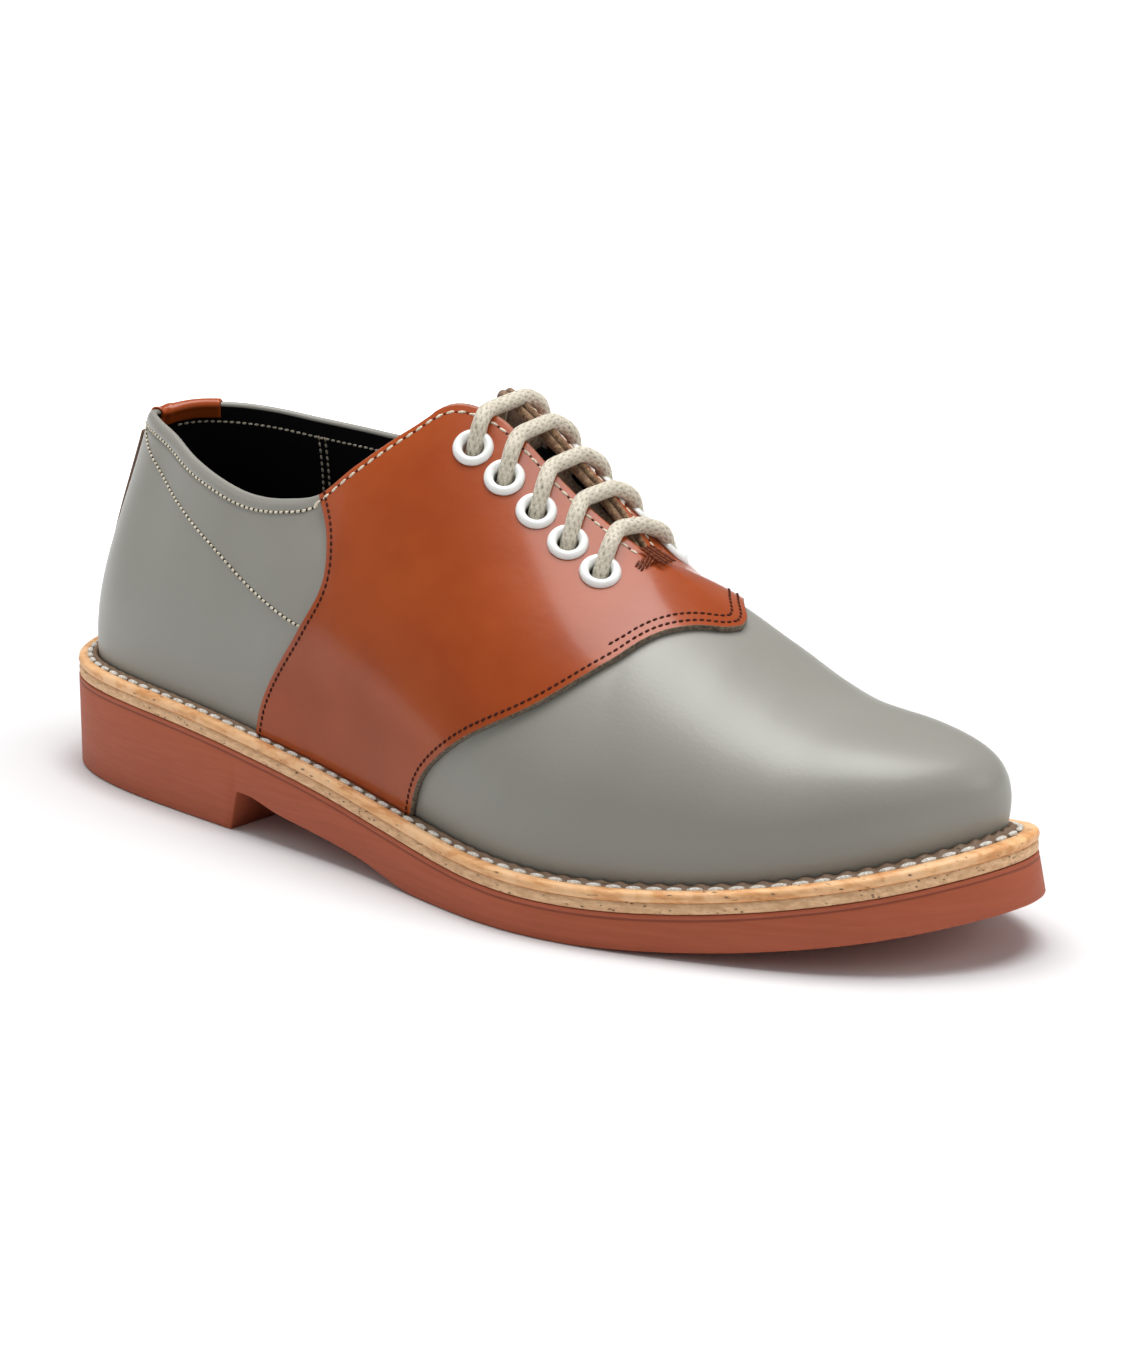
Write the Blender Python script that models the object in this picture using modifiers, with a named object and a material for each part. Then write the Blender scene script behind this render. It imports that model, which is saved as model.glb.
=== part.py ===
"""A right saddle shoe: welted sole with a low heel, hollow upper, saddle with five eyelets a side, and bar lacing."""

import math

import bmesh
import bpy
import numpy as np
from mathutils import Matrix
from mathutils.bvhtree import BVHTree

# Driving sizes, in metres. X runs from the heel to the toe, -Y is the outer side and Z is up from the floor.
SHOE_LENGTH = 0.302
BALL_WIDTH = 0.109
THROAT_HEIGHT = 0.120
HEEL_TOP = 0.0261
MIDSOLE_THICKNESS = 0.0026
WELT_THICKNESS = 0.0024
INSOLE_THICKNESS = 0.003
FIT_GAP = 0.0003
UPPER_WALL = 0.0022
SADDLE_WALL = 0.0015
STRIP_WALL = 0.0012
PULL_WALL = 0.0009
TONGUE_WALL = 0.0026
TONGUE_DEPTH = 0.0066
EYELET_SPREAD = 0.0275
EYELET_OUTER = 0.0054
EYELET_BORE = 0.0028
EYELET_SECTION = 0.0013
EYELET_CROWN = 1.15
BARREL_WALL = 0.0006
LACE_RADIUS = 0.0021
HEEL_BREAST = 0.087
BREAST_SLANT = 0.006
TOE_LEAN = 0.0028
EYELET_COUNT = 5

# Outline of the sole seen from above, heel to toe: shares of shoe length and of ball width, for each side.
OUTER_OUTLINE = (
    (0.013, -0.174), (0.046, -0.289), (0.116, -0.373), (0.215, -0.410), (0.331, -0.431),
    (0.447, -0.452), (0.546, -0.492), (0.646, -0.521), (0.728, -0.484), (0.811, -0.400),
    (0.887, -0.301), (0.944, -0.189), (0.983, -0.046),
)
INNER_OUTLINE = (
    (0.013, 0.128), (0.046, 0.239), (0.116, 0.312), (0.215, 0.330), (0.331, 0.303),
    (0.430, 0.317), (0.530, 0.376), (0.629, 0.454), (0.722, 0.477), (0.805, 0.450),
    (0.877, 0.396), (0.939, 0.342), (0.974, 0.282), (0.995, 0.203),
)
HEEL_POINT = (0.0, -0.014)
TOE_POINT = (1.0, 0.087)

# Side profile of the rubber: share of shoe length, top and underside as shares of the heel's height.
PROFILE_COLUMNS = ("along", "top", "under")
PROFILE = (
    (0.000, 1.000, 0.000),
    (0.265, 0.912, 0.000),
    (0.381, 0.751, 0.000),
    (0.497, 0.544, 0.000),
    (0.613, 0.395, 0.000),
    (0.712, 0.368, 0.000),
    (0.811, 0.452, 0.080),
    (0.911, 0.659, 0.270),
    (1.000, 0.916, 0.520),
)
# Arch under the waist: share of shoe length, height as a share of the heel's height.
ARCH = ((0.288, 0.400), (0.320, 0.425), (0.356, 0.333), (0.407, 0.253), (0.468, 0.157), (0.530, 0.010), (0.580, 0.000))

# Width of welt between the edge and the upper: share of shoe length, share of ball width.
WELT_MARGIN = ((0.00, 0.050), (0.10, 0.050), (0.25, 0.047), (0.50, 0.052), (0.70, 0.056), (0.90, 0.060), (1.00, 0.074))

# Ribs of the upper from the heel's centre back to the toe. Foot is a share of the feather line's length. The crest is the
# collar, then the edge of the slit, then the ridge of the vamp: along as a share of shoe length, sides as shares of
# ball width, heights as shares of throat height. Low and high are the fullness of each end of the rib, belly
# leans its start outward and lean raises its end, both in degrees.
RIB_COLUMNS = ("foot", "along", "outer", "inner", "outer_height", "inner_height", "low", "high", "belly", "lean")
RIBS = (
    (0.00, 0.053, 0.000, 0.000, 0.812, 0.812, 0.36, 0.42, 2, 72),
    (0.05, 0.072, -0.080, 0.080, 0.826, 0.826, 0.36, 0.42, 2, 74),
    (0.10, 0.104, -0.144, 0.140, 0.826, 0.828, 0.36, 0.40, 3, 76),
    (0.15, 0.142, -0.188, 0.185, 0.810, 0.822, 0.36, 0.38, 3, 78),
    (0.20, 0.189, -0.243, 0.225, 0.780, 0.808, 0.36, 0.36, 3, 78),
    (0.25, 0.237, -0.280, 0.248, 0.755, 0.799, 0.36, 0.36, 3, 78),
    (0.30, 0.281, -0.294, 0.262, 0.738, 0.792, 0.36, 0.36, 3, 76),
    (0.35, 0.325, -0.294, 0.266, 0.744, 0.795, 0.36, 0.38, 4, 71),
    (0.40, 0.364, -0.268, 0.255, 0.771, 0.815, 0.36, 0.40, 4, 62),
    (0.44, 0.391, -0.216, 0.232, 0.838, 0.860, 0.36, 0.42, 5, 52),
    (0.48, 0.426, -0.128, 0.182, 0.919, 0.930, 0.36, 0.42, 6, 44),
    (0.505, 0.450, -0.058, 0.122, 0.968, 0.976, 0.36, 0.41, 7, 40),
    (0.53, 0.478, -0.014, 0.082, 0.952, 0.964, 0.36, 0.40, 8, 37),
    (0.56, 0.509, -0.004, 0.075, 0.908, 0.922, 0.36, 0.40, 9, 35),
    (0.60, 0.550, 0.000, 0.072, 0.832, 0.849, 0.36, 0.40, 10, 32),
    (0.64, 0.595, 0.008, 0.064, 0.758, 0.772, 0.36, 0.40, 11, 27),
    (0.68, 0.640, 0.036, 0.036, 0.688, 0.688, 0.36, 0.40, 12, 15),
    (0.72, 0.682, 0.046, 0.046, 0.640, 0.640, 0.36, 0.40, 12, 6),
    (0.76, 0.728, 0.056, 0.056, 0.574, 0.574, 0.38, 0.42, 12, 2),
    (0.80, 0.781, 0.070, 0.070, 0.503, 0.503, 0.40, 0.44, 12, 0),
    (0.84, 0.834, 0.082, 0.082, 0.457, 0.457, 0.42, 0.50, 12, 0),
    (0.86, 0.868, 0.086, 0.086, 0.446, 0.446, 0.44, 0.54, 12, 0),
    (0.93, 0.868, 0.086, 0.086, 0.446, 0.446, 0.48, 0.63, 12, 0),
    (1.00, 0.868, 0.086, 0.086, 0.446, 0.446, 0.48, 0.69, 12, 0),
)
SLIT_END = 0.68
CORNER = 0.505
POLE = 0.86

# Seams of the saddle: up is the share of the rib, then the rib's foot share.
REAR_SEAM = ((0.00, 0.327), (0.14, 0.336), (0.35, 0.362), (0.52, 0.393), (0.65, 0.419), (0.80, 0.421), (1.00, 0.397))
FRONT_SEAM = ((0.00, 0.513), (0.12, 0.531), (0.24, 0.568), (0.41, 0.626), (0.62, 0.680), (0.87, 0.736), (0.95, 0.756), (1.00, 0.763))

# Shares of the ribs that the facets follow: behind the saddle as parts of the rear seam, then each rib's top.
REAR_PARTS = (0.0, 0.06, 0.12, 0.20, 0.28, 0.37, 0.47, 0.58, 0.69, 0.80, 0.90)
SADDLE_TOPS = (0.397, 0.430, 0.460, 0.485, 0.505, 0.525, 0.560, 0.595, 0.630, 0.657, 0.680, 0.725, 0.768)
TOE_TOPS = (0.790, 0.812, 0.835, 0.860, 0.882, 0.905, 0.930, 0.954, 0.977, 1.000)
UPS = np.linspace(0, 1, 11)

# Eyelet rows run between two shares of shoe length, about a middle line at a share of ball width.
EYELET_ROWS_X = (0.624, 0.483)
EYELET_CENTRE = 0.033

# Ribs that the tongue follows under the facings, its half spread on each, and how far its tip runs on past them.
TONGUE_SHARES = (0.76, 0.72, 0.68, 0.64, 0.60, 0.57)
TONGUE_SPREADS = (0.30, 0.34, 0.36, 0.38, 0.40, 0.42)
TONGUE_RISE = (0.0075, 0.015, 0.0225)
TONGUE_POINTS = 12


def column(names, rows, name):
    return np.array([row[names.index(name)] for row in rows], float)


def smooth(xs, ys, x):
    """A curve with a steady slope through the rows."""
    xs = np.asarray(xs, float)
    ys = np.asarray(ys, float)
    x = np.clip(np.asarray(x, float), xs[0], xs[-1])
    step = np.diff(xs)
    rise = np.diff(ys) / step
    slope = np.empty_like(ys)
    slope[1:-1] = (rise[:-1] * step[1:] + rise[1:] * step[:-1]) / (step[1:] + step[:-1])
    slope[0] = 1.5 * rise[0] - 0.5 * slope[1]
    slope[-1] = 1.5 * rise[-1] - 0.5 * slope[-2]
    k = np.clip(np.searchsorted(xs, x) - 1, 0, len(step) - 1)
    t = (x - xs[k]) / step[k]
    h = step[k]
    start = (2 * t**3 - 3 * t**2 + 1) * ys[k] + (t**3 - 2 * t**2 + t) * h * slope[k]
    return start + (3 * t**2 - 2 * t**3) * ys[k + 1] + (t**3 - t**2) * h * slope[k + 1]


def along_row(rows, x):
    return smooth([row[0] for row in rows], [row[1] for row in rows], x)


def rubber_top(x):
    share = column(PROFILE_COLUMNS, PROFILE, "along")
    return HEEL_TOP * smooth(share, column(PROFILE_COLUMNS, PROFILE, "top"), np.asarray(x) / SHOE_LENGTH)


def rubber_under(x):
    """The floor side: flat heel, stepped up at the breast, falling to the ball and rising to the toe."""
    share = np.asarray(x) / SHOE_LENGTH
    spring = smooth(column(PROFILE_COLUMNS, PROFILE, "along"), column(PROFILE_COLUMNS, PROFILE, "under"), share)
    arch = np.where(np.asarray(x) > HEEL_BREAST + 0.5 * BREAST_SLANT, along_row(ARCH, share), 0.0)
    return HEEL_TOP * np.maximum(np.where(share > 0.58, spring, arch), 0.0)


def seat(x):
    """Top of the midsole and a gap, where the upper, welt and insole stand."""
    return rubber_top(x) + MIDSOLE_THICKNESS + 2 * FIT_GAP


def closed_curve(points, fine=40):
    """A closed smooth curve through the points, as a dense loop."""
    p = np.asarray(points, float)
    count = len(p)
    h = np.linalg.norm(np.roll(p, -1, 0) - p, axis=1)
    matrix = np.zeros((count, count))
    target = np.zeros((count, 2))
    for i in range(count):
        before, after = h[i - 1], h[i]
        matrix[i, i - 1] = 1 / before
        matrix[i, i] = 2 / before + 2 / after
        matrix[i, (i + 1) % count] = 1 / after
        target[i] = 3 * ((p[i] - p[i - 1]) / before**2 + (p[(i + 1) % count] - p[i]) / after**2)
    slope = np.linalg.solve(matrix, target)
    t = np.linspace(0, 1, fine, endpoint=False)[:, None]
    pieces = []
    for i in range(count):
        j = (i + 1) % count
        start = (2 * t**3 - 3 * t**2 + 1) * p[i] + (t**3 - 2 * t**2 + t) * h[i] * slope[i]
        pieces.append(start + (3 * t**2 - 2 * t**3) * p[j] + (t**3 - t**2) * h[i] * slope[j])
    return np.vstack(pieces)


def sole_loop():
    """Outline from the heel point along the outer side to the toe and back along the inner side."""
    shares = [HEEL_POINT, *OUTER_OUTLINE, TOE_POINT, *INNER_OUTLINE[::-1]]
    return closed_curve(shares_to_size(shares))


def shares_to_size(shares):
    return np.array(shares, float) * (SHOE_LENGTH, BALL_WIDTH)


def inset(loop, depth):
    """The loop moved inward along its normals by a depth or one depth per point."""
    tangent = np.roll(loop, -1, 0) - np.roll(loop, 1, 0)
    tangent /= np.linalg.norm(tangent, axis=1)[:, None]
    inward = np.c_[-tangent[:, 1], tangent[:, 0]]
    return loop + inward * np.reshape(depth, (-1, 1))


def feather_loop(extra=0.0):
    """Where the upper meets the welt, moved inward by the extra."""
    loop = sole_loop()
    return inset(loop, BALL_WIDTH * along_row(WELT_MARGIN, loop[:, 0] / SHOE_LENGTH) + extra)


def two_sides(loop):
    """The loop's outer and inner side, each from its rearmost point to its foremost."""
    loop = np.roll(loop, -int(np.argmin(loop[:, 0])), 0)
    front = int(np.argmax(loop[:, 0]))
    return loop[: front + 1], np.vstack([loop[front:], loop[:1]])[::-1]


def by_stations(loop, stations):
    """Both sides of the loop at shares of its length: outer and inner points, with the ends shared."""
    outer, inner = two_sides(loop)
    x = outer[0, 0] + (outer[-1, 0] - outer[0, 0]) * np.asarray(stations)
    return np.c_[x, np.interp(x, outer[:, 0], outer[:, 1])], np.c_[x, np.interp(x, inner[:, 0], inner[:, 1])]


def even_stations(count):
    """Shares from 0 to 1, close together at both round ends."""
    return (1 - np.cos(np.linspace(0, math.pi, count + 1))) / 2


def collection(name, hidden=False):
    made = bpy.data.collections.new(name)
    bpy.context.scene.collection.children.link(made)
    made.hide_render = hidden
    return made


def material(name, color, roughness):
    made = bpy.data.materials.new(name)
    made.use_nodes = True
    shader = made.node_tree.nodes["Principled BSDF"]
    shader.inputs["Base Color"].default_value = (*color, 1.0)
    shader.inputs["Roughness"].default_value = roughness
    return made


def add_mesh(name, points, faces, look, hidden=False):
    mesh = bpy.data.meshes.new(name)
    mesh.from_pydata([tuple(p) for p in points], [], [tuple(f) for f in faces])
    mesh.validate()
    made = bpy.data.objects.new(name, mesh)
    collection(name, hidden).objects.link(made)
    if look:
        mesh.materials.append(material(name, *look))
    return made


def plate(name, outline, under, top, look, forward=0.0):
    """A plate between two curved faces whose heights follow X: outline is the points of both sides."""
    outer, inner = outline
    count = len(outer)
    points = []
    faces = []
    reach = outer[-1, 0]
    for height, shift in ((under, forward), (top, 0.0)):
        for side in (outer, inner[1:-1]):
            ahead = shift * np.clip((side[:, 0] / reach - 0.75) / 0.25, 0, 1) ** 2
            points += [(x + more, y, z) for (x, y), z, more in zip(side, height(side[:, 0]), ahead)]

    def corner(level, side, i):
        base = level * (2 * count - 2)
        if side == 0 or i in (0, count - 1):
            return base + i
        return base + count + i - 1

    for i in range(count - 1):
        for level in (0, 1):
            ring = [corner(level, 0, i), corner(level, 0, i + 1), corner(level, 1, i + 1), corner(level, 1, i)]
            ring = list(dict.fromkeys(ring))
            faces.append(ring if level else ring[::-1])
        for side in (0, 1):
            wall = [corner(0, side, i), corner(0, side, i + 1), corner(1, side, i + 1), corner(1, side, i)]
            faces.append(wall if side == 0 else wall[::-1])
    return add_mesh(name, points, faces, look)


def ring_plate(name, outer, inner, under, top, look):
    """A flat ring between two loops of the same count."""
    count = len(outer)
    points = []
    for loop, height in ((outer, under), (outer, top), (inner, top), (inner, under)):
        points += [(x, y, z) for (x, y), z in zip(loop, height(loop[:, 0]))]
    faces = []
    for i in range(count):
        j = (i + 1) % count
        for a in range(4):
            b = (a + 1) % 4
            faces.append([a * count + i, a * count + j, b * count + j, b * count + i])
    return add_mesh(name, points, faces, look)


FEATHER = two_sides(feather_loop(FIT_GAP))


def feather_at(side, share):
    """Feather point and its inward direction at a share of the side's length."""
    line = FEATHER[side]
    length = np.r_[0, np.cumsum(np.linalg.norm(np.diff(line, axis=0), axis=1))]
    length /= length[-1]
    share = np.asarray(share, float)
    ends = []
    for at in (share, np.clip(share - 0.004, 0, 1), np.clip(share + 0.004, 0, 1)):
        ends.append(np.c_[np.interp(at, length, line[:, 0]), np.interp(at, length, line[:, 1])])
    run = ends[2] - ends[1]
    turn = 1 if side == 0 else -1
    run[(share < 0.004) | (share > 0.996)] = (0.0, -turn)
    run[share > 0.996] = (0.0, turn)
    run /= np.linalg.norm(run, axis=1)[:, None]
    return ends[0], turn * np.c_[-run[:, 1], run[:, 0]]


def at_shares(loop, shares):
    """Both sides of the loop at the same shares of their lengths."""
    parts = []
    for line in two_sides(loop):
        length = np.r_[0, np.cumsum(np.linalg.norm(np.diff(line, axis=0), axis=1))]
        length /= length[-1]
        parts.append(np.c_[np.interp(shares, length, line[:, 0]), np.interp(shares, length, line[:, 1])])
    return parts


def around(sides):
    """Both sides joined to one loop."""
    return np.vstack([sides[0], sides[1][-2:0:-1]])


def rib_value(name, share):
    return smooth(column(RIB_COLUMNS, RIBS, "foot"), column(RIB_COLUMNS, RIBS, name), share)


def crest(side, share):
    """The upper's top edge, then the ridge: straight rows between the slit's end and the pole share one point."""
    share = np.asarray(share, float)
    x = SHOE_LENGTH * rib_value("along", np.minimum(share, POLE))
    y = BALL_WIDTH * rib_value("outer" if side == 0 else "inner", np.minimum(share, POLE))
    z = THROAT_HEIGHT * rib_value("outer_height" if side == 0 else "inner_height", np.minimum(share, POLE))
    ridge_y = BALL_WIDTH * smooth([SLIT_END, 0.76, POLE], [0.036, 0.056, 0.086], np.minimum(share, POLE))
    ridge_z = THROAT_HEIGHT * 0.5 * (
        rib_value("outer_height", np.minimum(share, POLE)) + rib_value("inner_height", np.minimum(share, POLE))
    )
    on_ridge = share >= SLIT_END - 1e-9
    return np.c_[x, np.where(on_ridge, ridge_y, y), np.where(on_ridge, ridge_z, z)]


def calm_crest(side, share):
    """The crest averaged along the collar's front and the slit, so that its corner doesn't ripple the ribs."""
    reach = 0.055 * smooth([0.0, 0.28, 0.44, 0.54, 0.66, 1.0], [0.0, 0.0, 1.0, 1.0, 0.0, 0.0], share).clip(0, 1)
    total = 0.0
    for step in (-1.0, -0.6, -0.2, 0.2, 0.6, 1.0):
        total = total + crest(side, share + reach * step)
    return total / 6


def ridge_slope(share):
    """Rise of the ridge per length, taken on from the slit's end towards the throat."""
    at = np.clip(share, SLIT_END + 0.01, POLE - 0.006)
    ahead, behind = crest(0, at + 0.006), crest(0, at - 0.006)
    return (ahead - behind)[:, 2] / (ahead - behind)[:, 0] - 2.0 * np.clip(SLIT_END - share, 0, 0.2)


def skin(side, share, up):
    """A point of the upper's outer face. Share picks the rib and up runs from its foot at 0 to its crest at 1."""
    share = np.atleast_1d(np.asarray(share, float))
    up = np.atleast_1d(np.asarray(up, float))
    foot, inward = feather_at(side, share)
    base = np.c_[foot, seat(foot[:, 0])]
    start = base + (0, 0, WELT_THICKNESS)
    end = calm_crest(side, share)
    across = end[:, :2] - foot
    across /= np.linalg.norm(across, axis=1)[:, None] + 1e-9
    blend = smooth([0.0, 0.30, 0.60, 1.0], [0.0, 0.0, 1.0, 1.0], share).clip(0, 1)[:, None]
    across = inward * (1 - blend) + across * blend
    across /= np.linalg.norm(across, axis=1)[:, None]
    ridge = smooth([0.0, 0.36, 0.60, 1.0], [0.0, 0.0, 1.0, 1.0], share).clip(0, 1)
    lean = np.radians(rib_value("lean", share))
    rise = np.sin(lean) + np.cos(lean) * ridge_slope(share) * across[:, 0] * ridge
    top_way = np.c_[across * np.cos(lean)[:, None], rise]
    top_way /= np.linalg.norm(top_way, axis=1)[:, None]
    belly = np.radians(rib_value("belly", share))
    foot_way = np.c_[-inward * np.sin(belly)[:, None], np.cos(belly)]
    span = np.linalg.norm(end - start, axis=1)[:, None]
    low = start + foot_way * span * rib_value("low", share)[:, None]
    high = end - top_way * span * rib_value("high", share)[:, None]
    t = up[:, None]
    body = (1 - t) ** 3 * start + 3 * (1 - t) ** 2 * t * low + 3 * (1 - t) * t**2 * high + t**3 * end
    return body + t**4 * (crest(side, share) - end)


def skin_normal(side, share, up):
    share = np.atleast_1d(np.asarray(share, float))
    up = np.atleast_1d(np.asarray(up, float))
    a = np.clip(share, 0.004, 0.996)
    b = np.clip(up, 0.01, 0.985)
    by_share = skin(side, a + 0.003, b) - skin(side, a - 0.003, b)
    by_up = skin(side, a, b + 0.008) - skin(side, a, b - 0.008)
    normal = np.cross(by_share, by_up) * (1 if side == 0 else -1)
    return normal / np.linalg.norm(normal, axis=1)[:, None]


def offset_skin(side, share, up, out):
    return skin(side, share, up) + skin_normal(side, share, up) * out


class Sheet:
    """Collects grid points and quads, joining points that share a place."""

    def __init__(self):
        self.points = []
        self.index = {}
        self.faces = []

    def point(self, p):
        key = tuple(int(round(v * 2e5)) for v in p)
        if key not in self.index:
            self.index[key] = len(self.points)
            self.points.append(tuple(p))
        return self.index[key]

    def grid(self, rows, flip=False):
        ids = [[self.point(p) for p in row] for row in rows]
        for first, second in zip(ids, ids[1:]):
            for j in range(len(first) - 1):
                for corners in ((first[j], second[j], second[j + 1]), (first[j], second[j + 1], first[j + 1])):
                    face = list(dict.fromkeys(corners))
                    if len(face) > 2:
                        self.faces.append(face[::-1] if flip else face)


def shell(name, sheet, wall, inward, look):
    """Gives the sheet a wall: inward or outward of its faces."""
    made = add_mesh(name, sheet.points, sheet.faces, look)
    joined = bmesh.new()
    joined.from_mesh(made.data)
    bmesh.ops.remove_doubles(joined, verts=joined.verts, dist=2e-6)
    joined.to_mesh(made.data)
    joined.free()
    solid = made.modifiers.new("wall", "SOLIDIFY")
    solid.thickness = wall
    solid.offset = -1 if inward else 1
    solid.use_even_offset = False
    return made


def rib_lines():
    """Shares along each grid line, from the heel's centre back to the toe, so that both seams are grid lines."""
    rear, front = along_row(REAR_SEAM, UPS), along_row(FRONT_SEAM, UPS)
    lines = [rear * part for part in REAR_PARTS]
    for top in SADDLE_TOPS:
        part = (top - rear[-1]) / (front[-1] - rear[-1])
        lines.append(rear * (1 - part) + front * part)
    for top in TOE_TOPS:
        part = (top - front[-1]) / (1 - front[-1])
        lines.append(front * (1 - part) + part)
    return lines


def middle_point(share, out):
    """One point for both sides, on the centre back or on the ridge."""
    both = [offset_skin(side, [share], [1.0], out)[0] for side in (0, 1)]
    return (both[0] + both[1]) / 2


def grid_line(side, shares, out):
    line = offset_skin(side, shares, UPS, out)
    if shares[-1] >= SLIT_END - 1e-6:
        line[-1] = middle_point(shares[-1], out)
    if shares[-1] < 1e-6 or shares[0] > 1 - 1e-6:
        other = offset_skin(1 - side, shares, UPS, out)
        line = (line + other) / 2
    return line


def make_upper():
    sheet = Sheet()
    for side in (0, 1):
        rows = []
        for shares in rib_lines():
            line = grid_line(side, shares, 0.0)
            rows.append([line[0] - np.array((0, 0, WELT_THICKNESS)), *line])
        sheet.grid(rows, flip=side == 1)
    return shell("upper", sheet, UPPER_WALL, True, ((0.30, 0.28, 0.25), 0.45))


def make_saddle():
    """Overlay between the rear and the front seam, over both sides and across the ridge before the slit."""
    sheet = Sheet()
    lines = rib_lines()[len(REAR_PARTS) : len(REAR_PARTS) + len(SADDLE_TOPS)]
    for side in (0, 1):
        rows = []
        for shares in lines:
            line = grid_line(side, shares, FIT_GAP)
            line[0] = line[0] + np.array((0, 0, FIT_GAP))
            rows.append(line)
        sheet.grid(rows, flip=side == 1)
    return shell("saddle", sheet, SADDLE_WALL, False, ((0.55, 0.24, 0.07), 0.3))


def near(side, target_x, target_y):
    """The skin place over a spot given by its X and Y."""
    share, up = 0.6, 0.8
    for _ in range(60):
        here = skin(side, share, up)[0]
        by_share = (skin(side, share + 0.002, up)[0] - here) / 0.002
        by_up = (skin(side, share, up + 0.002)[0] - here) / 0.002
        matrix = np.array([by_share[:2], by_up[:2]]).T
        step = np.linalg.solve(matrix, np.array((target_x, target_y)) - here[:2])
        share = float(np.clip(share + np.clip(step[0], -0.03, 0.03), 0.3, 0.8))
        up = float(np.clip(up + np.clip(step[1], -0.1, 0.1), 0.3, 0.99))
    return share, up


def ring_foot(tree, place, normal):
    """How far the saddle's facets under a ring stand over its place, and a gap."""
    across = np.cross((1.0, 0.0, 0.0), normal)
    across /= np.linalg.norm(across)
    up = np.cross(normal, across)
    heights = [0.0]
    for radius in np.linspace(EYELET_BORE, EYELET_OUTER, 5):
        for angle in np.linspace(0, 2 * math.pi, 24, endpoint=False):
            start = place + (across * math.cos(angle) + up * math.sin(angle)) * radius + normal * EYELET_OUTER
            hit = tree.ray_cast(start, -normal, 2 * EYELET_OUTER)[0]
            if hit is not None:
                heights.append(float((np.array(hit) - place) @ normal))
    return max(heights) + FIT_GAP


def eyelet_places(saddle):
    """Rows 1 to 5 from the slit's end upward: for each side the share, the point, the normal and the ring's foot."""
    bpy.context.view_layer.update()
    tree = BVHTree.FromObject(saddle, bpy.context.evaluated_depsgraph_get())
    places = []
    for i in range(EYELET_COUNT):
        x = SHOE_LENGTH * (EYELET_ROWS_X[0] + (EYELET_ROWS_X[1] - EYELET_ROWS_X[0]) * i / (EYELET_COUNT - 1))
        row = []
        for side in (0, 1):
            y = BALL_WIDTH * EYELET_CENTRE + (-0.5 if side == 0 else 0.5) * EYELET_SPREAD
            share, up = near(side, x, y)
            place, normal = skin(side, share, up)[0], skin_normal(side, share, up)[0]
            row.append((share, place, normal, ring_foot(tree, place, normal)))
        places.append(row)
    return places


def turned(name, profile, place, normal, look, steps=12):
    """A closed profile of (radius, height) spun about the normal at the place."""
    axis = np.asarray(normal)
    across = np.cross((1.0, 0.0, 0.0), axis)
    across /= np.linalg.norm(across)
    up = np.cross(axis, across)
    points = []
    faces = []
    count = len(profile)
    for k in range(steps):
        angle = 2 * math.pi * k / steps
        way = across * math.cos(angle) + up * math.sin(angle)
        points += [place + way * radius + axis * height for radius, height in profile]
    for k in range(steps):
        j = (k + 1) % steps
        for i in range(count):
            n = (i + 1) % count
            faces.append([k * count + i, k * count + n, j * count + n, j * count + i])
    return add_mesh(name, points, faces, look)


def hole_cutter(name, place, normal, radius):
    profile = [(radius, -0.012), (radius, 0.008)]
    axis = np.asarray(normal)
    across = np.cross((1.0, 0.0, 0.0), axis)
    across /= np.linalg.norm(across)
    up = np.cross(axis, across)
    steps = 14
    points = []
    for radius, height in profile:
        for k in range(steps):
            angle = 2 * math.pi * (k + 0.5) / steps
            way = across * math.cos(angle) + up * math.sin(angle)
            points.append(place + way * radius + axis * height)
    faces = [list(range(steps))[::-1], [steps + k for k in range(steps)]]
    for k in range(steps):
        j = (k + 1) % steps
        faces.append([k, j, steps + j, steps + k])
    made = add_mesh(name, points, faces, None, hidden=False)
    made.hide_render = True
    made.display_type = "WIRE"
    return made


def cut(target, cutter):
    made = target.modifiers.new("hole", "BOOLEAN")
    made.operation = "DIFFERENCE"
    made.solver = "EXACT"
    made.object = cutter


def make_eyelets(upper, saddle):
    places = eyelet_places(saddle)
    for i, row in enumerate(places):
        for side, (_, place, normal, top) in enumerate(row):
            label = f"{'outer' if side == 0 else 'inner'}_{i + 1}"
            cutter = hole_cutter(f"cutter_{label}", place, normal, EYELET_BORE + BARREL_WALL + FIT_GAP)
            cut(upper, cutter)
            cut(saddle, cutter)
            flange = []
            middle = EYELET_OUTER - EYELET_SECTION
            for k in range(4):
                angle = math.pi * k / 3
                crown = EYELET_SECTION * EYELET_CROWN * math.sin(angle)
                flange.append((middle - EYELET_SECTION * math.cos(angle), top + crown))
            profile = [
                (EYELET_BORE, -UPPER_WALL - 0.5 * FIT_GAP),
                *flange,
                (EYELET_BORE + BARREL_WALL, top),
                (EYELET_BORE + BARREL_WALL, -UPPER_WALL - 0.5 * FIT_GAP),
            ]
            turned(f"eyelet_{label}", profile, place, normal, ((0.9, 0.9, 0.88), 0.2))
    return places


def rounded(corners, radii, pieces=4):
    """A path through the corners with each inner corner rounded off."""
    corners = [np.asarray(c, float) for c in corners]
    path = [corners[0]]
    for before, here, after, radius in zip(corners, corners[1:], corners[2:], radii):
        a = before - here
        b = after - here
        la, lb = np.linalg.norm(a), np.linalg.norm(b)
        a /= la
        b /= lb
        half = math.acos(float(np.clip(a @ b, -1, 1))) / 2
        reach = min(radius / max(math.tan(half), 0.05), 0.49 * la, 0.49 * lb)
        start, stop = here + a * reach, here + b * reach
        for k in range(pieces + 1):
            t = k / pieces
            path.append((1 - t) ** 2 * start + 2 * (1 - t) * t * here + t**2 * stop)
    path.append(corners[-1])
    return path


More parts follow.
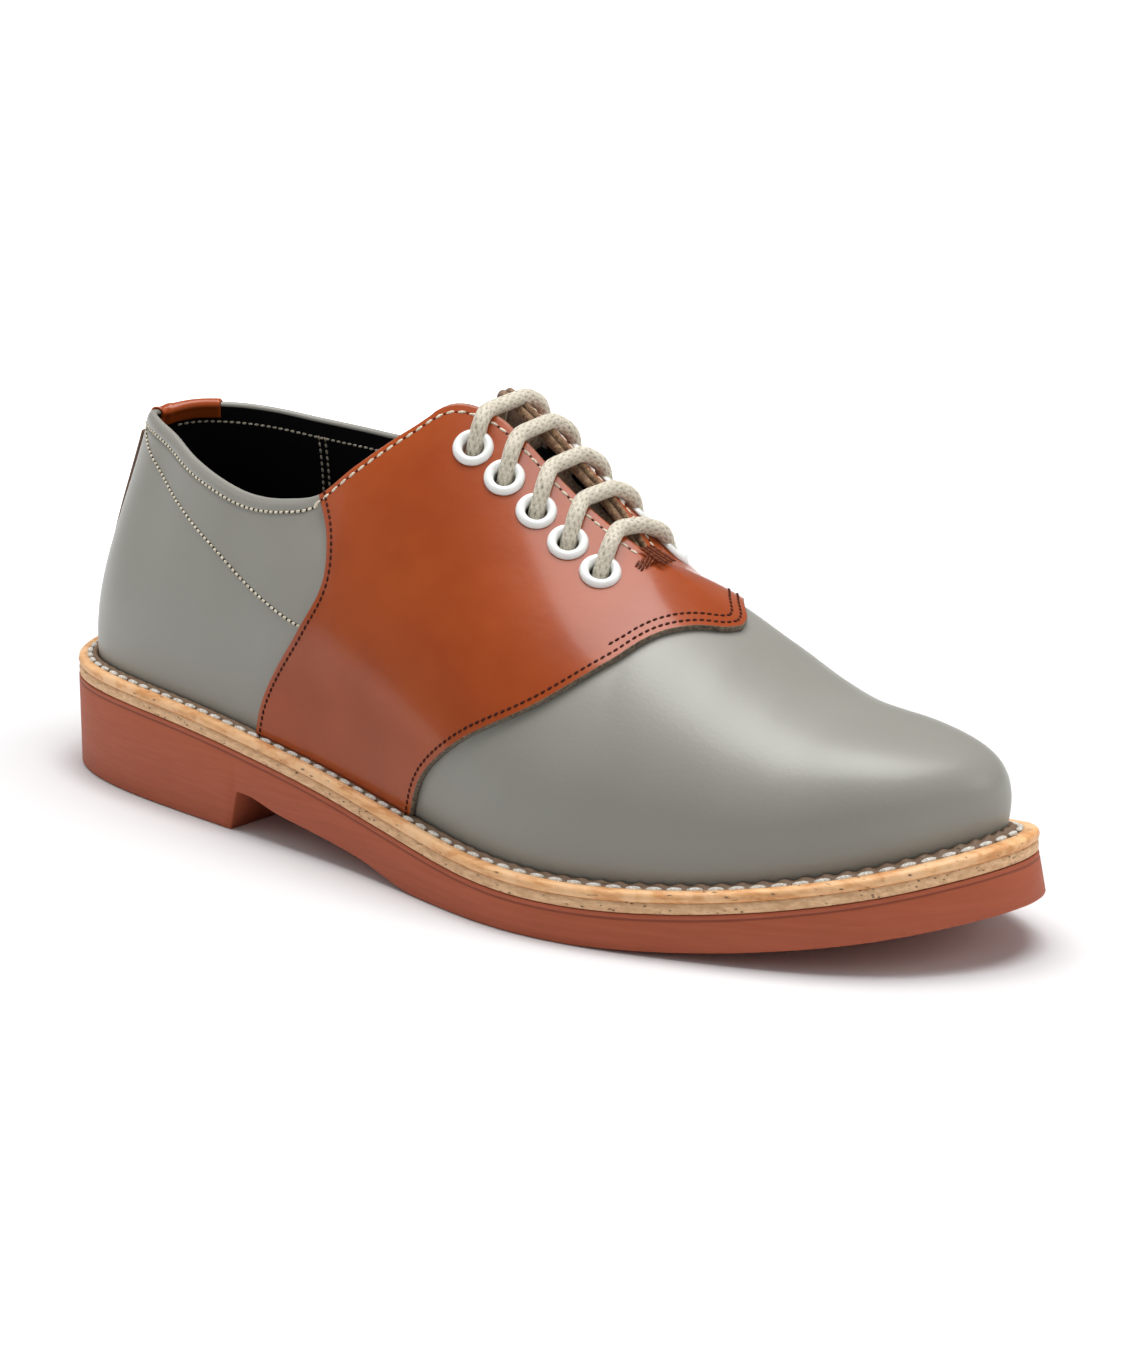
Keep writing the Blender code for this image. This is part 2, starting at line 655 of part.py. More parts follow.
def make_lace(places):
    """One cord through all eyelets: five bars over the facings, runs to the next rows beneath."""
    clear = SADDLE_WALL + LACE_RADIUS + 7 * FIT_GAP
    above = EYELET_SECTION * EYELET_CROWN + LACE_RADIUS + 2 * FIT_GAP
    below = UPPER_WALL + LACE_RADIUS + 5 * FIT_GAP

    def over(row, side):
        _, place, normal, top = places[row - 1][side]
        return place + normal * (above + top)

    def edge(row, side):
        share = places[row - 1][side][0]
        return offset_skin(side, [share], [0.99], clear)[0]

    def past(row, side):
        """Straight on from the hole to the ring's rim, before the cord bends down to the facing's edge."""
        _, _, normal, _ = places[row - 1][side]
        way = edge(row, side) - over(row, side)
        way -= normal * (way @ normal)
        return over(row, side) + way / np.linalg.norm(way) * EYELET_OUTER

    def bar(row, first):
        last = 1 - first
        return [over(row, first), past(row, first), edge(row, first), edge(row, last), past(row, last), over(row, last)]

    def under(row, side, shift):
        _, place, normal, _ = places[row - 1][side]
        ahead = min(row, EYELET_COUNT - 1)
        run = places[ahead][side][1] - places[ahead - 1][side][1]
        run /= np.linalg.norm(run)
        outward = np.cross(run, normal) * (1 if side == 0 else -1)
        return place - normal * below + outward * shift

    lane = 2.3 * LACE_RADIUS
    corners = [
        0.5 * (under(5, 0, -lane) + under(4, 0, -lane)),
        under(4, 0, 0.0),
        *bar(4, 0),
        under(4, 1, 0.0),
        under(3, 1, -lane),
        under(2, 1, 0.0),
        *bar(2, 1),
        under(2, 0, 0.0),
        under(1, 0, 0.0),
        *bar(1, 0),
        under(1, 1, 0.0),
        under(2, 1, lane),
        under(3, 1, 0.0),
        *bar(3, 1),
        under(3, 0, 0.0),
        under(4, 0, lane),
        under(5, 0, 0.0),
        *bar(5, 0),
        under(5, 1, 0.0),
    ]
    path = rounded(corners, [LACE_RADIUS * 1.35] * (len(corners) - 2), pieces=2)
    data = bpy.data.curves.new("lace", "CURVE")
    data.dimensions = "3D"
    data.bevel_depth = LACE_RADIUS
    data.bevel_resolution = 2
    data.use_fill_caps = True
    line = data.splines.new("POLY")
    line.points.add(len(path) - 1)
    for point, p in zip(line.points, path):
        point.co = (*p, 1.0)
    made = bpy.data.objects.new("lace", data)
    collection("lace").objects.link(made)
    data.materials.append(material("lace", (0.68, 0.64, 0.55), 0.6))
    return made


def tongue_section(share, spread):
    """An evenly divided line across the foot below the facings, from the outer side to the inner side."""
    ups = np.linspace(1 - spread, 0.97, 12)
    shares = np.full(12, share)
    outer = offset_skin(0, shares, ups, -UPPER_WALL - TONGUE_DEPTH)
    inner = offset_skin(1, shares, ups, -UPPER_WALL - TONGUE_DEPTH)[::-1]
    a, b = outer[-1], inner[0]
    reach = np.linalg.norm(b - a)
    way_a = (outer[-1] - outer[-2]) / np.linalg.norm(outer[-1] - outer[-2])
    way_b = (inner[1] - inner[0]) / np.linalg.norm(inner[1] - inner[0])
    bridge = []
    for t in (0.25, 0.5, 0.75):
        start = (2 * t**3 - 3 * t**2 + 1) * a + (t**3 - 2 * t**2 + t) * reach * way_a
        bridge.append(start + (3 * t**2 - 2 * t**3) * b + (t**3 - t**2) * reach * way_b)
    line = np.vstack([outer, bridge, inner])
    length = np.r_[0, np.cumsum(np.linalg.norm(np.diff(line, axis=0), axis=1))]
    even = np.linspace(0, length[-1], TONGUE_POINTS)
    return np.column_stack([np.interp(even, length, line[:, axis]) for axis in range(3)])


def make_tongue():
    sheet = Sheet()
    rows = [tongue_section(share, spread) for share, spread in zip(TONGUE_SHARES, TONGUE_SPREADS)]
    last = np.array(rows[-1])
    way = np.array((-0.80, 0.0, 0.60))
    middle = last.mean(axis=0)
    for rise in TONGUE_RISE:
        shrink = 1 - 5.0 * rise
        row = middle + (last - middle) * (1.0, shrink, 1.0) + way * rise
        row[:, 2] -= 0.12 * rise
        rows.append(row)
    sheet.grid([list(row) for row in rows], flip=True)
    return shell("tongue", sheet, TONGUE_WALL, True, ((0.62, 0.32, 0.13), 0.5))


def make_backstrip():
    """The strip over the centre back seam, on the same grid lines as the quarters."""
    sheet = Sheet()
    lines = rib_lines()[:3]
    for side in (0, 1):
        rows = []
        for shares in lines:
            line = grid_line(side, shares, FIT_GAP)[:-1]
            line[0] = line[0] + np.array((0, 0, FIT_GAP))
            rows.append(line)
        sheet.grid(rows, flip=side == 1)
    return shell("backstrip", sheet, STRIP_WALL, False, ((0.24, 0.12, 0.06), 0.5))


def make_heel_pull():
    """A band wrapped over the collar, from the centre back towards the inner side."""
    lines = rib_lines()
    rows = []
    for side, k in ((0, 1), (0, 0), (1, 1), (1, 2), (1, 3), (1, 4)):
        shares = lines[k]
        middle = k == 0
        path = []
        for up, out, lift in (
            (0.935, FIT_GAP, 0.0),
            (1.0, FIT_GAP, 0.0),
            (1.0, -0.2 * UPPER_WALL, 2 * FIT_GAP),
            (1.0, -0.8 * UPPER_WALL, 2 * FIT_GAP),
            (1.0, -UPPER_WALL - FIT_GAP, 0.0),
            (0.962, -UPPER_WALL - FIT_GAP, 0.0),
        ):
            p = offset_skin(side, shares[-1:], [up], out)[0]
            if middle:
                p = (p + offset_skin(1, shares[-1:], [up], out)[0]) / 2
            path.append(p + np.array((0, 0, lift)))
        rows.append(path)
    sheet = Sheet()
    sheet.grid(rows, flip=True)
    return shell("heel_pull", sheet, PULL_WALL, False, ((0.6, 0.25, 0.08), 0.4))


def frame_shift():
    """What takes the middle of the sole's box to the origin."""
    loop = sole_loop()
    low, high = loop.min(axis=0), loop.max(axis=0) + (TOE_LEAN, 0.0)
    return -(low + high) / 2


def main():
    for obj in list(bpy.data.objects):
        bpy.data.objects.remove(obj, do_unlink=True)
    loop = sole_loop()
    stations = even_stations(34)
    breast = np.array((HEEL_BREAST, HEEL_BREAST + BREAST_SLANT)) / SHOE_LENGTH
    marks = np.array([row[0] for row in ARCH[2:]])
    sole_stations = np.unique(np.round(np.r_[stations, breast, marks], 5))
    outline = by_stations(loop, sole_stations)
    plate("outsole", outline, rubber_under, rubber_top, ((0.35, 0.07, 0.04), 0.6), forward=TOE_LEAN)
    outline = by_stations(loop, stations)
    low, high = FIT_GAP, FIT_GAP + MIDSOLE_THICKNESS
    plate("midsole", outline, lambda x: rubber_top(x) + low, lambda x: rubber_top(x) + high, ((0.7, 0.62, 0.5), 0.7))
    feet = [line[0] for line in rib_lines()]
    outline = at_shares(feather_loop(2 * FIT_GAP + UPPER_WALL), feet)
    plate("insole", outline, seat, lambda x: seat(x) + INSOLE_THICKNESS, ((0.05, 0.05, 0.05), 0.8))
    inner = around(at_shares(feather_loop(), feet))
    outer = around(at_shares(loop, feet))
    ring_plate("welt", outer, inner, seat, lambda x: seat(x) + WELT_THICKNESS, ((0.72, 0.42, 0.2), 0.5))
    upper = make_upper()
    saddle = make_saddle()
    places = make_eyelets(upper, saddle)
    make_tongue()
    make_lace(places)
    make_backstrip()
    make_heel_pull()
    shift = Matrix.Translation((*frame_shift(), 0.0))
    for obj in bpy.data.objects:
        obj.data.transform(shift)


main()
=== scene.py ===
"""Looks of a right saddle shoe: grey leather upper, polished tan saddle, welted sole and bar lacing."""

import math

import bmesh
import bpy
import numpy as np
from mathutils import Matrix, Vector
from mathutils.kdtree import KDTree

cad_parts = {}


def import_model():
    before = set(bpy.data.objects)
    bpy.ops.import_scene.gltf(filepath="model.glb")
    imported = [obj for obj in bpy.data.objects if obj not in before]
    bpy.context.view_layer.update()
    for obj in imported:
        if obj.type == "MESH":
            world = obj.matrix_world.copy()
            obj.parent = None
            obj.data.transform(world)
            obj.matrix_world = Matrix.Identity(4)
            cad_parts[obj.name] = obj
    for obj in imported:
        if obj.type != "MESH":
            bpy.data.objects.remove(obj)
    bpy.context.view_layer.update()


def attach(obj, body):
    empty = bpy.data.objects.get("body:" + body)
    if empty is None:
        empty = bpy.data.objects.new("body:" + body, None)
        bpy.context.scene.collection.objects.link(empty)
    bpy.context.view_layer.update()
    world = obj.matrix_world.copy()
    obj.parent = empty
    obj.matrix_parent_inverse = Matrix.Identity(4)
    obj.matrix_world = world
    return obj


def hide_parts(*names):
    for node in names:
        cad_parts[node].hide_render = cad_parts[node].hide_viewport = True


# Sizes that the solids are made from, in metres. X runs from the heel to the toe and -Y is the outer side.
SHOE_LENGTH = 0.302
BALL_WIDTH = 0.109
THROAT_HEIGHT = 0.120
HEEL_TOP = 0.0261
MIDSOLE_THICKNESS = 0.0026
WELT_THICKNESS = 0.0024
INSOLE_THICKNESS = 0.003
FIT_GAP = 0.0003
UPPER_WALL = 0.0022
SADDLE_WALL = 0.0015
STRIP_WALL = 0.0012
TONGUE_WALL = 0.0026
TONGUE_DEPTH = 0.0066
EYELET_SPREAD = 0.0275
EYELET_OUTER = 0.0054
EYELET_BORE = 0.0028
EYELET_SECTION = 0.0013
EYELET_CROWN = 1.15
BARREL_WALL = 0.0006
LACE_RADIUS = 0.0021
HEEL_BREAST = 0.087
BREAST_SLANT = 0.006
TOE_LEAN = 0.0028
EYELET_COUNT = 5

# Outline of the sole seen from above, heel to toe: shares of shoe length and of ball width, for each side.
OUTER_OUTLINE = (
    (0.013, -0.174), (0.046, -0.289), (0.116, -0.373), (0.215, -0.410), (0.331, -0.431),
    (0.447, -0.452), (0.546, -0.492), (0.646, -0.521), (0.728, -0.484), (0.811, -0.400),
    (0.887, -0.301), (0.944, -0.189), (0.983, -0.046),
)
INNER_OUTLINE = (
    (0.013, 0.128), (0.046, 0.239), (0.116, 0.312), (0.215, 0.330), (0.331, 0.303),
    (0.430, 0.317), (0.530, 0.376), (0.629, 0.454), (0.722, 0.477), (0.805, 0.450),
    (0.877, 0.396), (0.939, 0.342), (0.974, 0.282), (0.995, 0.203),
)
HEEL_POINT = (0.0, -0.014)
TOE_POINT = (1.0, 0.087)

# Side profile of the rubber: share of shoe length, top and underside as shares of the heel's height.
PROFILE_COLUMNS = ("along", "top", "under")
PROFILE = (
    (0.000, 1.000, 0.000),
    (0.265, 0.912, 0.000),
    (0.381, 0.751, 0.000),
    (0.497, 0.544, 0.000),
    (0.613, 0.395, 0.000),
    (0.712, 0.368, 0.000),
    (0.811, 0.452, 0.080),
    (0.911, 0.659, 0.270),
    (1.000, 0.916, 0.520),
)
# Arch under the waist: share of shoe length, height as a share of the heel's height.
ARCH = (
    (0.288, 0.400), (0.320, 0.425), (0.356, 0.333), (0.407, 0.253), (0.468, 0.157), (0.530, 0.010),
    (0.580, 0.000),
)
ARCH_END = 0.58

# Width of welt between the edge and the upper: share of shoe length, share of ball width.
WELT_MARGIN = (
    (0.00, 0.050), (0.10, 0.050), (0.25, 0.047), (0.50, 0.052), (0.70, 0.056), (0.90, 0.060),
    (1.00, 0.074),
)

# Ribs of the upper from the heel's centre back to the toe. Foot is a share of the feather line's length. The
# crest is the collar, then the edge of the slit, then the ridge of the vamp: along as a share of shoe length,
# sides as shares of ball width, heights as shares of throat height. Low and high are the fullness of each end
# of the rib, belly leans its start outward and lean raises its end, both in degrees.
RIB_COLUMNS = (
    "foot", "along", "outer", "inner", "outer_height", "inner_height", "low", "high", "belly", "lean",
)
RIBS = (
    (0.00, 0.053, 0.000, 0.000, 0.812, 0.812, 0.36, 0.42, 2, 72),
    (0.05, 0.072, -0.080, 0.080, 0.826, 0.826, 0.36, 0.42, 2, 74),
    (0.10, 0.104, -0.144, 0.140, 0.826, 0.828, 0.36, 0.40, 3, 76),
    (0.15, 0.142, -0.188, 0.185, 0.810, 0.822, 0.36, 0.38, 3, 78),
    (0.20, 0.189, -0.243, 0.225, 0.780, 0.808, 0.36, 0.36, 3, 78),
    (0.25, 0.237, -0.280, 0.248, 0.755, 0.799, 0.36, 0.36, 3, 78),
    (0.30, 0.281, -0.294, 0.262, 0.738, 0.792, 0.36, 0.36, 3, 76),
    (0.35, 0.325, -0.294, 0.266, 0.744, 0.795, 0.36, 0.38, 4, 71),
    (0.40, 0.364, -0.268, 0.255, 0.771, 0.815, 0.36, 0.40, 4, 62),
    (0.44, 0.391, -0.216, 0.232, 0.838, 0.860, 0.36, 0.42, 5, 52),
    (0.48, 0.426, -0.128, 0.182, 0.919, 0.930, 0.36, 0.42, 6, 44),
    (0.505, 0.450, -0.058, 0.122, 0.968, 0.976, 0.36, 0.41, 7, 40),
    (0.53, 0.478, -0.014, 0.082, 0.952, 0.964, 0.36, 0.40, 8, 37),
    (0.56, 0.509, -0.004, 0.075, 0.908, 0.922, 0.36, 0.40, 9, 35),
    (0.60, 0.550, 0.000, 0.072, 0.832, 0.849, 0.36, 0.40, 10, 32),
    (0.64, 0.595, 0.008, 0.064, 0.758, 0.772, 0.36, 0.40, 11, 27),
    (0.68, 0.640, 0.036, 0.036, 0.688, 0.688, 0.36, 0.40, 12, 15),
    (0.72, 0.682, 0.046, 0.046, 0.640, 0.640, 0.36, 0.40, 12, 6),
    (0.76, 0.728, 0.056, 0.056, 0.574, 0.574, 0.38, 0.42, 12, 2),
    (0.80, 0.781, 0.070, 0.070, 0.503, 0.503, 0.40, 0.44, 12, 0),
    (0.84, 0.834, 0.082, 0.082, 0.457, 0.457, 0.42, 0.50, 12, 0),
    (0.86, 0.868, 0.086, 0.086, 0.446, 0.446, 0.44, 0.54, 12, 0),
    (0.93, 0.868, 0.086, 0.086, 0.446, 0.446, 0.48, 0.63, 12, 0),
    (1.00, 0.868, 0.086, 0.086, 0.446, 0.446, 0.48, 0.69, 12, 0),
)
SLIT_END = 0.68
CORNER = 0.505
POLE = 0.86
# Middle of the ridge, a share of ball width, by rib.
RIDGE_SIDE = ((SLIT_END, 0.036), (0.76, 0.056), (POLE, 0.086))
# By rib: how much the crest is calmed, how far a rib turns to its crest, how much it takes the ridge's slope.
CALM = ((0.0, 0.0), (0.28, 0.0), (0.44, 1.0), (0.54, 1.0), (0.66, 0.0), (1.0, 0.0))
CALM_REACH = 0.055
CREST_TURN = ((0.0, 0.0), (0.30, 0.0), (0.60, 1.0), (1.0, 1.0))
RIDGE_SHARE = ((0.0, 0.0), (0.36, 0.0), (0.60, 1.0), (1.0, 1.0))

# Seams of the saddle: up is the share of the rib, then the rib's foot share.
REAR_SEAM = (
    (0.00, 0.327), (0.14, 0.336), (0.35, 0.362), (0.52, 0.393), (0.65, 0.419), (0.80, 0.421),
    (1.00, 0.397),
)
FRONT_SEAM = (
    (0.00, 0.513), (0.12, 0.531), (0.24, 0.568), (0.41, 0.626), (0.62, 0.680), (0.87, 0.736),
    (0.95, 0.756), (1.00, 0.763),
)
COLLAR_END = REAR_SEAM[-1][1]

# Eyelet rows run between two shares of shoe length, about a middle line at a share of ball width.
EYELET_ROWS_X = (0.624, 0.483)
EYELET_CENTRE = 0.033

# Ribs that the tongue follows under the facings, its half spread on each, and how far its tip runs past them.
TONGUE_SHARES = (0.76, 0.72, 0.68, 0.64, 0.60, 0.57)
TONGUE_SPREADS = (0.30, 0.34, 0.36, 0.38, 0.40, 0.42)
TONGUE_RISE = (0.0075, 0.015, 0.018, 0.0205, 0.0225)
TONGUE_POINTS = 12
TONGUE_TIP_WAY = (-0.80, 0.0, 0.60)
TIP_NARROWING = 5.0
TIP_DROP = 0.12
SCALLOP = 0.0012
SCALLOP_COUNT = 9

# The photograph's camera: angles and target on the sole's own axes, the rest in the photograph's pixels.
CAMERA_AZIMUTH = math.radians(41.345)
CAMERA_ELEVATION = math.radians(16.568)
CAMERA_DISTANCE = 0.900
CAMERA_TARGET = (0.151, 0.0, 0.035)
PHOTO_SIZE = (1125, 1350)
FOCAL_PIXELS = 3400.6
AXIS_PIXEL = (514.7, 710.9)
SENSOR = 36.0

# Finish sizes.
BEAD_WIDTH = 0.0030
BEAD_RISE = 0.0003
COLLAR_ROW = 0.0029
LINING_ROW = 0.0048
SADDLE_ROW = 0.0030
REAR_ROW = 0.0022
FRONT_ROW = 0.0021
SECOND_ROW = 0.0046
FOLD_RADIUS = 0.0008
CUT_RADIUS = 0.00025
THREAD_PITCH = 0.0019
THREAD = (0.0015, 0.0008, 0.0006)
TOP_PITCH = 0.0031
TOP_THREAD = (0.0023, 0.0008, 0.0006)
THREAD_HOLE = (0.0009, 0.0008, 0.0002)
WELT_PITCH = 0.0052
WELT_THREAD = (0.0043, 0.0018, 0.0013)
COUNTER_LINE = (
    (0.062, 0.965), (0.085, 0.929), (0.157, 0.842), (0.217, 0.776), (0.271, 0.710), (0.319, 0.625),
    (0.392, 0.505),
)
STITCH_LIFT = 0.00015
LINING_LIFT = 0.0001
TACK_WIDTH = 0.012
TACK_LENGTH = 0.006
TACK_THREAD = (0.0026, 0.0007, 0.0007)
TACK_PITCH = 0.0017
TACK_SLANT = 0.4
LINING_SEAM = 0.202
LINING_PAIR = 0.0035
STRIP_SHARE = 0.040
PULL_FROM = -0.020
PULL_TO = 0.085
PULL_OUTSIDE = np.array((0.0062, 0.0060, 0.0050, 0.0038, 0.0026, 0.0014, 0.0005))
PULL_INSIDE = np.array((0.0005, 0.0011, 0.0017, 0.0023, 0.0029, 0.0033, 0.0035))
PULL_SWELL = 0.0006
PULL_CREASE = 0.00035
PULL_SHEET = 0.0004
LACE_TURN = 0.0048
BRAID_STRANDS = 8
BRAID_PITCH = 0.0060
BRAID_VALLEY = 0.87
BRAID_SWELL = 0.16
LACE_STEP = 0.0004
SADDLE_SEAT = FIT_GAP * 0.5
SADDLE_TOP = SADDLE_SEAT + SADDLE_WALL
RING_FOOT = FIT_GAP + SADDLE_WALL
HOLE_RADIUS = EYELET_BORE + BARREL_WALL + 0.0003
WELT_CHANNEL = 0.60

# Rows of points close to an edge, by their distance from it, and the lengths that a whole rib and a whole
# share stand for there.
RIM_STEPS = np.array((
    0.010, 0.0085, 0.0070, 0.0058, 0.0048, 0.0042, 0.0037, 0.0033, 0.0029, 0.0024, 0.0018, 0.0011, 0.0005,
    0.0,
))
EDGE_STEPS = np.array((0.0, 0.00008, 0.00025, 0.0005, 0.0008, 0.0013))
TOP_REACH = 0.060
SHARE_REACH = 0.30

# Light: name, place, width and depth, and power in watts. The floor's glow begins and is full at two reaches.
LIGHTS = (
    ("overhead", (-0.02, 0.10, 1.05), (0.95, 0.60), 13.8),
    ("rear_right", (0.95, 0.55, 0.55), (0.4, 0.5), 1.6),
    ("left_fill", (-0.9, -0.5, 0.5), (0.5, 0.6), 0.8),
)
LIGHT_TARGET = (0.0, 0.0, 0.05)
WORLD_LIGHT = 0.34
FLOOR_REACH = 6.0
FLOOR_GLOW = (0.16, 0.55)


def column(names, rows, name):
    return np.array([row[names.index(name)] for row in rows], float)


def unit(ways):
    """The ways, each at a length of one."""
    return ways / np.linalg.norm(ways, axis=-1, keepdims=True)


def lengths(line):
    """Length along the line up to each of its points."""
    return np.r_[0, np.cumsum(np.linalg.norm(np.diff(line, axis=0), axis=1))]


def at_lengths(line, length, wanted):
    """The line's points at the wanted lengths."""
    return np.column_stack([np.interp(wanted, length, part) for part in line.T])


def hermite(t, start, end, start_slope, end_slope):
    """From start to end with a given slope at each."""
    first = (2 * t**3 - 3 * t**2 + 1) * start + (t**3 - 2 * t**2 + t) * start_slope
    return first + (3 * t**2 - 2 * t**3) * end + (t**3 - t**2) * end_slope


def smooth(xs, ys, x):
    """A curve with a steady slope through the rows."""
    xs = np.asarray(xs, float)
    ys = np.asarray(ys, float)
    x = np.clip(np.asarray(x, float), xs[0], xs[-1])
    step = np.diff(xs)
    rise = np.diff(ys) / step
    slope = np.empty_like(ys)
    slope[1:-1] = (rise[:-1] * step[1:] + rise[1:] * step[:-1]) / (step[1:] + step[:-1])
    slope[0] = 1.5 * rise[0] - 0.5 * slope[1]
    slope[-1] = 1.5 * rise[-1] - 0.5 * slope[-2]
    k = np.clip(np.searchsorted(xs, x) - 1, 0, len(step) - 1)
    t = (x - xs[k]) / step[k]
    return hermite(t, ys[k], ys[k + 1], step[k] * slope[k], step[k] * slope[k + 1])


def along_row(rows, x):
    return smooth([row[0] for row in rows], [row[1] for row in rows], x)


def rubber_top(x):
    share = column(PROFILE_COLUMNS, PROFILE, "along")
    return HEEL_TOP * smooth(share, column(PROFILE_COLUMNS, PROFILE, "top"), np.asarray(x) / SHOE_LENGTH)


def rubber_under(x):
    """The floor side: flat heel, stepped up at the breast, falling to the ball and rising to the toe."""
    share = np.asarray(x) / SHOE_LENGTH
    along = column(PROFILE_COLUMNS, PROFILE, "along")
    spring = smooth(along, column(PROFILE_COLUMNS, PROFILE, "under"), share)
    arch = np.where(np.asarray(x) > HEEL_BREAST + 0.5 * BREAST_SLANT, along_row(ARCH, share), 0.0)
    return HEEL_TOP * np.maximum(np.where(share > ARCH_END, spring, arch), 0.0)


def seat(x):
    """Top of the midsole and a gap, where the upper, welt and insole stand."""
    return rubber_top(x) + MIDSOLE_THICKNESS + 2 * FIT_GAP


def closed_curve(points, fine=40):
    """A closed smooth curve through the points, as a dense loop."""
    p = np.asarray(points, float)
    count = len(p)
    h = np.linalg.norm(np.roll(p, -1, 0) - p, axis=1)
    matrix = np.zeros((count, count))
    target = np.zeros((count, 2))
    for i in range(count):
        before, after = h[i - 1], h[i]
        matrix[i, i - 1] = 1 / before
        matrix[i, i] = 2 / before + 2 / after
        matrix[i, (i + 1) % count] = 1 / after
        target[i] = 3 * ((p[i] - p[i - 1]) / before**2 + (p[(i + 1) % count] - p[i]) / after**2)
    slope = np.linalg.solve(matrix, target)
    t = np.linspace(0, 1, fine, endpoint=False)[:, None]
    pieces = []
    for i in range(count):
        j = (i + 1) % count
        pieces.append(hermite(t, p[i], p[j], h[i] * slope[i], h[i] * slope[j]))
    return np.vstack(pieces)


def sole_loop():
    """Outline from the heel point along the outer side to the toe and back along the inner side."""
    shares = [HEEL_POINT, *OUTER_OUTLINE, TOE_POINT, *INNER_OUTLINE[::-1]]
    return closed_curve(np.array(shares, float) * (SHOE_LENGTH, BALL_WIDTH))


def inset(loop, depth):
    """The loop moved inward along its normals by a depth or one depth per point."""
    tangent = unit(np.roll(loop, -1, 0) - np.roll(loop, 1, 0))
    return loop + np.c_[-tangent[:, 1], tangent[:, 0]] * np.reshape(depth, (-1, 1))


def welt_margin(x):
    return BALL_WIDTH * along_row(WELT_MARGIN, x / SHOE_LENGTH)


def feather_loop(extra=0.0):
    """Where the upper meets the welt, moved inward by the extra."""
    loop = sole_loop()
    return inset(loop, welt_margin(loop[:, 0]) + extra)


def two_sides(loop):
    """The loop's outer and inner side, each from its rearmost point to its foremost."""
    loop = np.roll(loop, -int(np.argmin(loop[:, 0])), 0)
    front = int(np.argmax(loop[:, 0]))
    return loop[: front + 1], np.vstack([loop[front:], loop[:1]])[::-1]


def by_stations(loop, stations):
    """Both sides of the loop at shares of its length: outer and inner points, with the ends shared."""
    outer, inner = two_sides(loop)
    x = outer[0, 0] + (outer[-1, 0] - outer[0, 0]) * np.asarray(stations)
    return np.c_[x, np.interp(x, outer[:, 0], outer[:, 1])], np.c_[x, np.interp(x, inner[:, 0], inner[:, 1])]


FEATHER = two_sides(feather_loop(FIT_GAP))


def feather_at(side, share):
    """Feather point and its inward direction at a share of the side's length."""
    line = FEATHER[side]
    length = lengths(line)
    length /= length[-1]
    share = np.asarray(share, float)
    step = 0.004
    behind, ahead = (at_lengths(line, length, np.clip(share + move, 0, 1)) for move in (-step, step))
    run = ahead - behind
    turn = 1 if side == 0 else -1
    run[share < step] = (0.0, -turn)
    run[share > 1 - step] = (0.0, turn)
    run = unit(run)
    return at_lengths(line, length, share), turn * np.c_[-run[:, 1], run[:, 0]]


def rib_value(name, share):
    return smooth(column(RIB_COLUMNS, RIBS, "foot"), column(RIB_COLUMNS, RIBS, name), share)


def crest(side, share):
    """The upper's top edge, then the ridge, whose points serve both sides from the slit's end on."""
    share = np.asarray(share, float)
    at = np.minimum(share, POLE)
    name = "outer" if side == 0 else "inner"
    middle_height = 0.5 * (rib_value("outer_height", at) + rib_value("inner_height", at))
    on_ridge = share >= SLIT_END - 1e-9
    y = np.where(on_ridge, along_row(RIDGE_SIDE, at), rib_value(name, at))
    z = np.where(on_ridge, middle_height, rib_value(name + "_height", at))
    return np.c_[SHOE_LENGTH * rib_value("along", at), BALL_WIDTH * y, THROAT_HEIGHT * z]


def calm_crest(side, share):
    """The crest averaged along collar front and slit, so that its corner doesn't ripple the ribs."""
    reach = CALM_REACH * along_row(CALM, share).clip(0, 1)
    steps = (-1.0, -0.6, -0.2, 0.2, 0.6, 1.0)
    return sum(crest(side, share + reach * step) for step in steps) / len(steps)


def ridge_slope(share):
    """Rise of the ridge per length, taken on from the slit's end towards the throat."""
    at = np.clip(share, SLIT_END + 0.01, POLE - 0.006)
    ahead, behind = crest(0, at + 0.006), crest(0, at - 0.006)
    return (ahead - behind)[:, 2] / (ahead - behind)[:, 0] - 2.0 * np.clip(SLIT_END - share, 0, 0.2)


def skin(side, share, up):
    """A point of the upper's outer face. Share picks the rib, up runs from foot at 0 to crest at 1."""
    share = np.atleast_1d(np.asarray(share, float))
    t = np.atleast_1d(np.asarray(up, float))[:, None]
    foot, inward = feather_at(side, share)
    start = np.c_[foot, seat(foot[:, 0])] + (0, 0, WELT_THICKNESS)
    end = calm_crest(side, share)
    across = end[:, :2] - foot
    across /= np.linalg.norm(across, axis=1)[:, None] + 1e-9
    turned = along_row(CREST_TURN, share).clip(0, 1)[:, None]
    across = unit(inward * (1 - turned) + across * turned)
    ridge = along_row(RIDGE_SHARE, share).clip(0, 1)
    lean = np.radians(rib_value("lean", share))
    rise = np.sin(lean) + np.cos(lean) * ridge_slope(share) * across[:, 0] * ridge
    top_way = unit(np.c_[across * np.cos(lean)[:, None], rise])
    belly = np.radians(rib_value("belly", share))
    foot_way = np.c_[-inward * np.sin(belly)[:, None], np.cos(belly)]
    span = np.linalg.norm(end - start, axis=1)[:, None]
    low = start + foot_way * span * rib_value("low", share)[:, None]
    high = end - top_way * span * rib_value("high", share)[:, None]
    body = (1 - t) ** 3 * start + 3 * (1 - t) ** 2 * t * low + 3 * (1 - t) * t**2 * high + t**3 * end
    return body + t**4 * (crest(side, share) - end)


